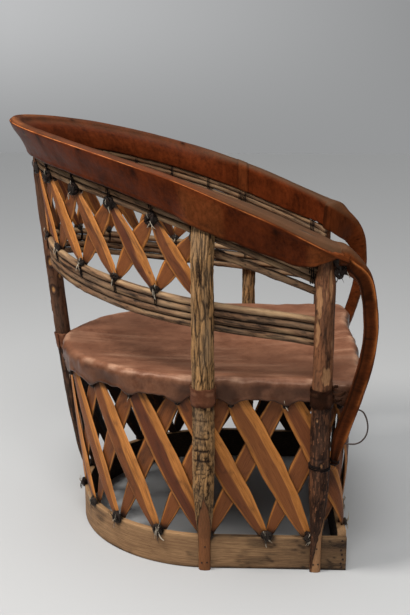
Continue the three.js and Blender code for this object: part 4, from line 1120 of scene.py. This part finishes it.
BOW = [
    (0, 0.31), (0.045, 0.57), (0.112, 0.78), (0.195, 0.92), (0.3, 0.99), (0.37, 1),
    (0.46, 0.96), (0.549, 0.88), (0.682, 0.71), (0.82, 0.5), (0.936, 0.36), (1, 0.33),
]
ARM_END = np.array([
    [15.4, -10], [13.4, -2], [9.2, 7.6], [-7, 12.6], [-20, 13.8], [-34, 11], [-42, 4.5], [-43, -12],
    [-42.5, -47], [-32, -44], [0, -27], [14.2, -21],
])
ARM_CREST = np.array([0, 0, 0.4, 1, 1, 1, 0.5, 0, 0, 0, 0, 0])
BOW_SECTION = np.array([
    [8.8, 9.5], [7.8, 12], [4, 13.4], [0, 13.6], [-4, 13.2], [-7.5, 11.4], [-9, 7], [-9.2, 0],
    [-8.6, -9.5], [-5, -13], [2, -13.4], [8.6, -10.5],
])
BOW_SIDES, BOW_GIRTH = 84, 76


def closed_loop(table):
    """Evenly numbered points on the closed curve through a table of 12, which is run three times
    and cut to its middle run"""
    return curve_through(np.vstack([table] * 3 + [table[:1]]), 3 * BOW_SIDES + 1)[BOW_SIDES:2 * BOW_SIDES]


def make_bow(side, reach, bump, crest, bend, waist, seed):
    """Leather sewn round a rod that leans forward of the front post. Its section is a closed curve
    through points, blended from the end of the arm's leather to a flat oval with one ridge. bend
    and waist are the shares of its length between which the section turns square and narrows."""
    label, start_share = ("right", rim_stop) if side > 0 else ("left", rim_start)
    post = f"post_{label}_front"
    start, start_along, start_out = on_slope(rim_height, start_share, 0, RIM_OUT)
    start = start + start_along * side * CLEARANCE
    controls = [on_slope(rim_height, start_share - side * 12 / ROUND, 0, RIM_OUT)[0], start]
    for down, forward in BOW[1:]:
        height = mix(start[2], BOW_END, down)
        place, _, out = wall(post_share(post, height), height)
        spot = place + out * mix(RIM_OUT, CLEARANCE + POSTS[post][3], down) + FORWARD * forward * reach
        spot[0] = mix(start[0], spot[0], smooth(0, 0.3, down))
        controls.append(spot)
    path = evenly(curve_through(controls, 400), 280)
    share = np.linspace(0, 1, len(path))
    along = share[:, None]
    facing = wall(post_share(post, HOOP_HEIGHT), HOOP_HEIGHT)[2]
    outward = unit(mix(start_out, facing, smooth(0, 0.3, along)))
    across = unit(np.cross(directions(path), outward) * -side)
    across = unit(mix(UP, across, smooth(*bend, along)))
    length = along * run_of(path)[-1]
    wide = mix(12, 26, np.minimum((length[-1] - length) / 60, 1)) / 26
    turn = np.arange(BOW_SIDES) / BOW_SIDES
    arm, bow = closed_loop(ARM_END + vec(0, crest * ARM_CREST)), closed_loop(BOW_SECTION)
    out_size = mix(arm[:, 0], bow[:, 0], smooth(0.02, 0.19, along)) * wide
    up_size = mix(arm[:, 1], bow[:, 1], smooth(*waist, along)) * wide
    up_size = up_size + bump * bell(along - 0.12, 0.08) * smooth(0, 0.03, along)
    coords = vec(turn * BOW_GIRTH, length, 0) + seed
    swell = 0.7 * noise(coords, (12, 30, 9), seed) + 0.4 * noise(coords, (5, 12, 9), seed + 1)
    index = (turn * 12 + 6) % 12 - 6
    ridge = bell(index, 0.15)
    strand = bell(index + 0.5, 0.07) * smooth(0.12, 0.4, along)
    dark_line = (bell(index + 1.1, 0.16) + 0.8 * bell(index + 3.4, 0.2)) * smooth(0.02, 0.1, along)
    grow = swell * smooth(0, 0.03, along) + 1.3 * ridge - 0.9 * dark_line - 1.2 * strand
    grown = 1 + grow / np.maximum(np.hypot(out_size, up_size), 6)
    points = (path[:, None] + across[:, None] * (up_size * grown)[..., None]
              + outward[:, None] * (out_size * grown)[..., None])
    worn = ridge * smooth(-0.6, 0.2, noise(coords, (30, 26, 9), seed + 2)) + 0.25 * bell(index - 3, 2)
    outer_face = smooth(-0.08, -0.2, index) * smooth(-2.2, -1.4, index) * smooth(0.0, 0.06, along)
    dark = (0.4 + 0.3 * noise(coords, (5, 90, 9), seed + 4)) * outer_face + 0.5 * dark_line + 0.5 * strand
    dark = dark + 0.5 * smooth(0.86, 1, along) + 0.5 * smooth(0.6, 0.9, noise(coords, (7, 9, 9), seed + 3))
    dust = 0.75 * smooth(0.8, 1.7, index) * smooth(6.1, 5.4, index) * smooth(0.26, 0.02, along)
    marks = marked(worn, dark, dust, top=[1, 0.9, 1])
    piece(f"bow_{label}", [skin(points, coords, marks)], bow_leather, [f"arm_bow_{label}"])
    return path


bow_path = {"right": make_bow(1, 84, 4, 0, (0.01, 0.14), (0, 0.2), 400),
            "left": make_bow(-1, 92, 0, 5, (0.05, 0.32), (0.05, 0.45), 440)}


# Lashings, knots and ties

STRIP_CORNERS = np.array([
    [-1, -0.5], [-0.4, -1], [0.4, -1], [1, -0.5], [1, 0.5], [0.4, 1], [-0.4, 1], [-1, 0.5],
])
black_skins, pale_skins = [], []


def strip_of(path, width, thickness, seed, twist):
    """Flat strip along a path, twisted by a slow random turn"""
    rng = np.random.default_rng(seed)
    heading = directions(path)
    across = unit(np.cross(heading, rng.normal(size=3)))
    over = np.cross(heading, across)
    turn = (twist * np.linspace(0, 1, len(path)) * rng.uniform(0.5, 1.5))[:, None]
    side = across * np.cos(turn) + over * np.sin(turn)
    face = np.cross(heading, side)
    taper = np.linspace(1, rng.uniform(0.25, 0.8), len(path))[:, None, None]
    points = path[:, None] + taper * (side[:, None] * STRIP_CORNERS[:, :1] * width / 2
                                      + face[:, None] * STRIP_CORNERS[:, 1:] * thickness / 2)
    wear = np.full_like(points, 0.25)
    wear[..., 1] = rng.uniform(0, 0.5) * np.linspace(1, 0, len(path))[:, None]
    return skin(points, points + seed * 3.1, wear)


def tie(place, out, along, size, seed, ends=3, hang=16, pale_share=0.62):
    """A lump of wound rawhide: crossing loops round a point, and torn ends that hang from it or,
    every third one, stand up"""
    rng = np.random.default_rng(seed)
    axes = np.stack([along, out, UP])
    for loop in range(6):
        spin = rng.uniform(0, math.tau)
        tilt = rng.uniform(-0.7, 0.7)
        first = unit(np.array([math.cos(spin), 0.7 * math.sin(spin) * math.cos(tilt), math.sin(spin)]))
        other = unit(np.cross(first, rng.normal(size=3)))
        t = np.linspace(0, rng.uniform(1.1, 1.8) * math.pi, 12)[:, None]
        ring = (first * np.cos(t) + other * np.sin(t)) * size * rng.uniform(0.6, 1.0)
        ring[:, 1] = np.abs(ring[:, 1]) * 0.75
        points, grain = tube(place + ring @ axes, size * rng.uniform(0.2, 0.32), 7, seed=seed + loop,
                             rough=0.25, side_hint=rng.normal(size=3))
        black_skins.append(skin(points, grain, vec(rng.uniform(0, 0.35), 0, 0 * points[..., 0])))
    for end in range(ends):
        t = np.linspace(0, 1, 9)[:, None]
        lean = rng.uniform(-0.7, 0.7)
        long = hang * rng.uniform(0.55, 1.15) * (1 if end % 3 else -0.7)
        curl = rng.uniform(-0.35, 0.35)
        start = place + (rng.uniform(-0.3, 0.3, 3) * size) @ axes + out * size * 0.55
        path = (start + along * lean * long * t + out * (3.0 * np.sin(t * 2.6) + 1.5 * rng.uniform(0, 1) * t)
                - UP * long * (t - curl * t * t))
        made = strip_of(path, rng.uniform(0.9, 2.6), 0.8, seed + 50 + end, twist=1.4)
        (pale_skins if rng.uniform() < pale_share else black_skins).append(made)


for number, (share, on_board) in enumerate(low_knots):
    place, along, out = wall(share, 0, SLAT_FOOT)
    place[2] = (BOARD_HEIGHT if on_board else BAND_HEIGHT) + 2
    tie(place - out * 1.5, out, along, 8.5 if on_board else 11, 500 + number, ends=10, hang=19,
        pale_share=0.75)
for number in range(STATIONS):
    place, along, out = wall(number / STATIONS, HOOP_HEIGHT - HEM_DROP - 13)
    tie(place - out * 6, out, along, 6, 560 + number, ends=2, hang=12)
for number in range(BAYS + 1):
    for under, (rise, size, ends) in enumerate(((0.985, 13, 5), (0.015, 8.5, 5))):
        place, out = high_strip(np.array(FIRST_SHARE + number * BAY), np.array(rise))
        along = np.array([out[1], -out[0], 0])
        tie(place + out * 3.5, out, along, size, 600 + number * 2 + under, ends=ends, hang=17)
        tie(place - out * 5, -out, along, size * 0.8, 660 + number * 2 + under, ends=2, hang=12)
for side, post in ((1, "post_right_front"), (-1, "post_left_front")):
    height = post_top(post)
    place, along, out = wall(post_share(post, height), height)
    for number, (forward, lower, size) in enumerate(((24, 2, 12), (31, 16, 12), (22, 26, 9))):
        spot = place + out * 20 + FORWARD * forward - UP * lower
        tie(spot, out, along, size, 690 + number + side * 3, ends=7, hang=15, pale_share=0.08)


def make_rags(label, seed):
    """Torn ends of hide that stand forward of a front post's collar"""
    rng = np.random.default_rng(seed)
    post, height = f"post_{label}_front", COLLAR_BOTTOM + COLLAR_HEIGHT / 2
    place, _, out = wall(post_share(post, height), height)
    skins = []
    for number in range(7):
        t = np.linspace(0, 1, 10)[:, None]
        start = place + out * (POSTS[post][3] + 4) + FORWARD * 14 - UP * rng.uniform(-16, 14)
        wave = 5 * np.sin(4 * t + number) * t
        path = (start + FORWARD * rng.uniform(14, 30) * t + out * 6 * np.sin(3 * t)
                + UP * (rng.uniform(-9, 12) * t + wave))
        skins.append(strip_of(path, rng.uniform(7, 13), 1.4, seed + number, twist=1.2))
    piece(f"collar_rags_{label}", skins, strap_hide)


make_rags("right", 900)
make_rags("left", 930)


def wrap(height_above, share, drops, radius, seed, turns=2):
    """A thong wound round a stack of rods: an oval path that steps sideways with each turn"""
    top, bottom = min(drops), max(drops)
    t = np.linspace(0, math.tau * turns, 30 * turns)[:, None]
    middle, along, out = on_slope(height_above, share, (top + bottom) / 2, -CLEARANCE - radius)
    tall = (bottom - top) / 2 + radius + 1.2
    path = (middle + UP * tall * np.sin(t) + out * (radius + 1.4) * np.cos(t)
            + along * np.linspace(-2.2, 2.2, len(t))[:, None] * turns * 0.8)
    return skin(*tube(path, 1.3, 7, seed=seed, rough=0.2, flat=0.8, side_hint=along))


for number in range(BAYS + 1):
    share = FIRST_SHARE + number * BAY
    black_skins.append(wrap(rim_height, share, HIGH_DROPS, HIGH_ROD, 720 + number))
    black_skins.append(wrap(low_rail_height, share, (-2 * LOW_PITCH, -3 * LOW_PITCH), LOW_ROD, 740 + number))
for post in ("post_right_middle", "post_right_front", "post_left_middle", "post_left_front", "post_back"):
    share = at_post(post, 0, RIM_HEIGHT)
    beside = (-24 if share > 0.1 else 24) / ROUND
    black_skins.append(wrap(rim_height, share + beside, HIGH_DROPS, HIGH_ROD, 780, turns=3))

piece("knots_dark", black_skins, rawhide)
piece("knots_pale", pale_skins, pale_rawhide)


def make_lashing(label, seed, end_finish):
    """Strips wound round a post and the end of its bow, with torn ends"""
    skins = []
    t = np.linspace(0, math.tau, 40)
    for turn in range(3):
        height = BOW_END - 6 + 2.5 * turn
        heights = height + 1.6 * np.sin(t * 0.5 + seed + turn) + (t / math.tau - 0.5) * 1.4 * 1.6
        path = post_surface(f"post_{label}_front", heights, t, 1.0)
        skins.append(skin(*tube(path, 1.4, 8, seed=seed + turn, rough=0.2)))
    t = np.linspace(0, math.tau, 24)
    for turn in range(2):
        oval = vec(9.5 * np.cos(t), 8.5 * np.sin(t), 2.5 * np.sin(t + turn * 2))
        ring = bow_path[label][3 * turn - 7] + oval
        skins.append(skin(*tube(ring, 1.3, 7, seed=seed + 10 + turn, rough=0.3)))
    piece(f"lashing_{label}", skins, rawhide, [f"bow_lashing_{label}"])
    ends = []
    rng = np.random.default_rng(seed)
    t = np.linspace(0, 1, 9)[:, None]
    for number in range(5):
        start = bow_path[label][-1] + rng.normal(size=3) * 4
        path = start + rng.normal(size=3) * [6, 8, 3] * t - UP * rng.uniform(6, 18) * t
        ends.append(strip_of(path, 4.5, 1.1, seed + 30 + number, twist=1.0))
    piece(f"lashing_ends_{label}", ends, end_finish)


make_lashing("right", 820, worn_strap)
make_lashing("left", 860, lace_leather)


# Nails

NAIL_DOME = ((-2, 1), (0.2, 1), (0.6, 0.8), (0.85, 0.4), (0.9, 0.08))


def nail(place, out, radius):
    """A domed head: rings of a quarter circle, one third as high as wide"""
    side = unit(np.cross(out, UP))
    over = np.cross(out, side)
    angle = np.linspace(0, math.tau, 12, endpoint=False)[:, None]
    ring = radius * (side * np.cos(angle) + over * np.sin(angle))
    return skin(np.array([place + out * lift + ring * share for lift, share in NAIL_DOME]))


nails = []
for post in POSTS:
    for angle, height in ((-0.42, 17), (0.42, 18), (0.1, 52)):
        out = wall(post_share(post, height), height)[2]
        nails.append(nail(post_surface(post, height, angle) - out * 0.8, out, 1.7))
for side in (-1.0, 1.0):
    for number, height in enumerate((7, 15, 24, 34, 44, 55, 64)):
        place = np.array([side * (HALF_WIDTH + 0.2), -271.5 + 2.2 * math.sin(number * 2.1), height])
        nails.append(nail(place, np.array([side, 0, 0]), 2.3))
piece("nail_heads", nails, iron)


# Floor and light

paper, add = started("paper_floor")
add("OutputMaterial", Surface=add("BsdfPrincipled", Base_Color="#a9abad", Roughness=0.9))
FLOOR_REACH = 8
corners = [(x * FLOOR_REACH, y * FLOOR_REACH, 0) for x, y in ((-1, -1), (1, -1), (1, 1), (-1, 1))]
floor_mesh = bpy.data.meshes.new("paper_floor")
floor_mesh.from_pydata(corners, [], [(0, 1, 2, 3)])
floor_mesh.materials.append(paper)
placed("paper_floor", floor_mesh)

world = bpy.data.worlds.new("room")
bpy.context.scene.world = world
world.use_nodes = True
world.node_tree.nodes.clear()
add = partial(node, world.node_tree)
rays = add("LightPath").outputs
seen = add("Math", {"operation": "MAXIMUM"}, i0=rays["Is Camera Ray"], i1=rays["Is Transmission Ray"])
way = add("SeparateXYZ", i0=add("TexCoord").outputs["Generated"]).outputs
climb = add("MapRange", Value=way[2], From_Min=0.66, From_Max=1.0, To_Min=0.05, To_Max=2.3)
room_light = add("Background", Color="#fbfaf8", Strength=climb)
# Painted shade on the backdrop seen by the camera: lighter towards +Y, darker towards -Y.
aside = add("MapRange", Value=way[1], From_Min=-0.22, From_Max=0.22)
upper = add("Mix", RGBA, i0=aside, i6="#8c8d8e", i7="#bebfc0")
raised = add("MapRange", {"interpolation_type": "SMOOTHSTEP"}, Value=way[2], From_Min=-0.11, From_Max=0.05)
backdrop = add("Background", Color=add("Mix", RGBA, i0=raised, i6="#959697", i7=upper), Strength=1.0)
add("OutputWorld", Surface=add("MixShader", i0=seen, i1=room_light, i2=backdrop))


def lamp(name, place, target, size, power, colour):
    """A round lamp in metres and watts that faces its target"""
    light = bpy.data.lights.new(name, "AREA")
    light.shape = "DISK"
    light.size = size
    light.energy = power
    light.color = hex_colour(colour)[:3]
    towards = unit(np.subtract(target, place))
    side = unit(np.cross(towards, UP))
    placed(name, light).matrix_world = turned_to(side, np.cross(side, towards), -towards, place)


lamp("key", (-1.1, 2.0, 3.2), (0, 0, 0.5), 1.0, 118, "#fff9f2")
lamp("fill", (-1.9, -0.1, 3.0), (0, 0, 0.4), 1.2, 52, "#fffdfa")
lamp("front", (-3.4, 0.6, 0.9), (0, 0, 0.5), 1.4, 11, "#fffdfa")

bpy.context.scene.view_settings.view_transform = "Standard"
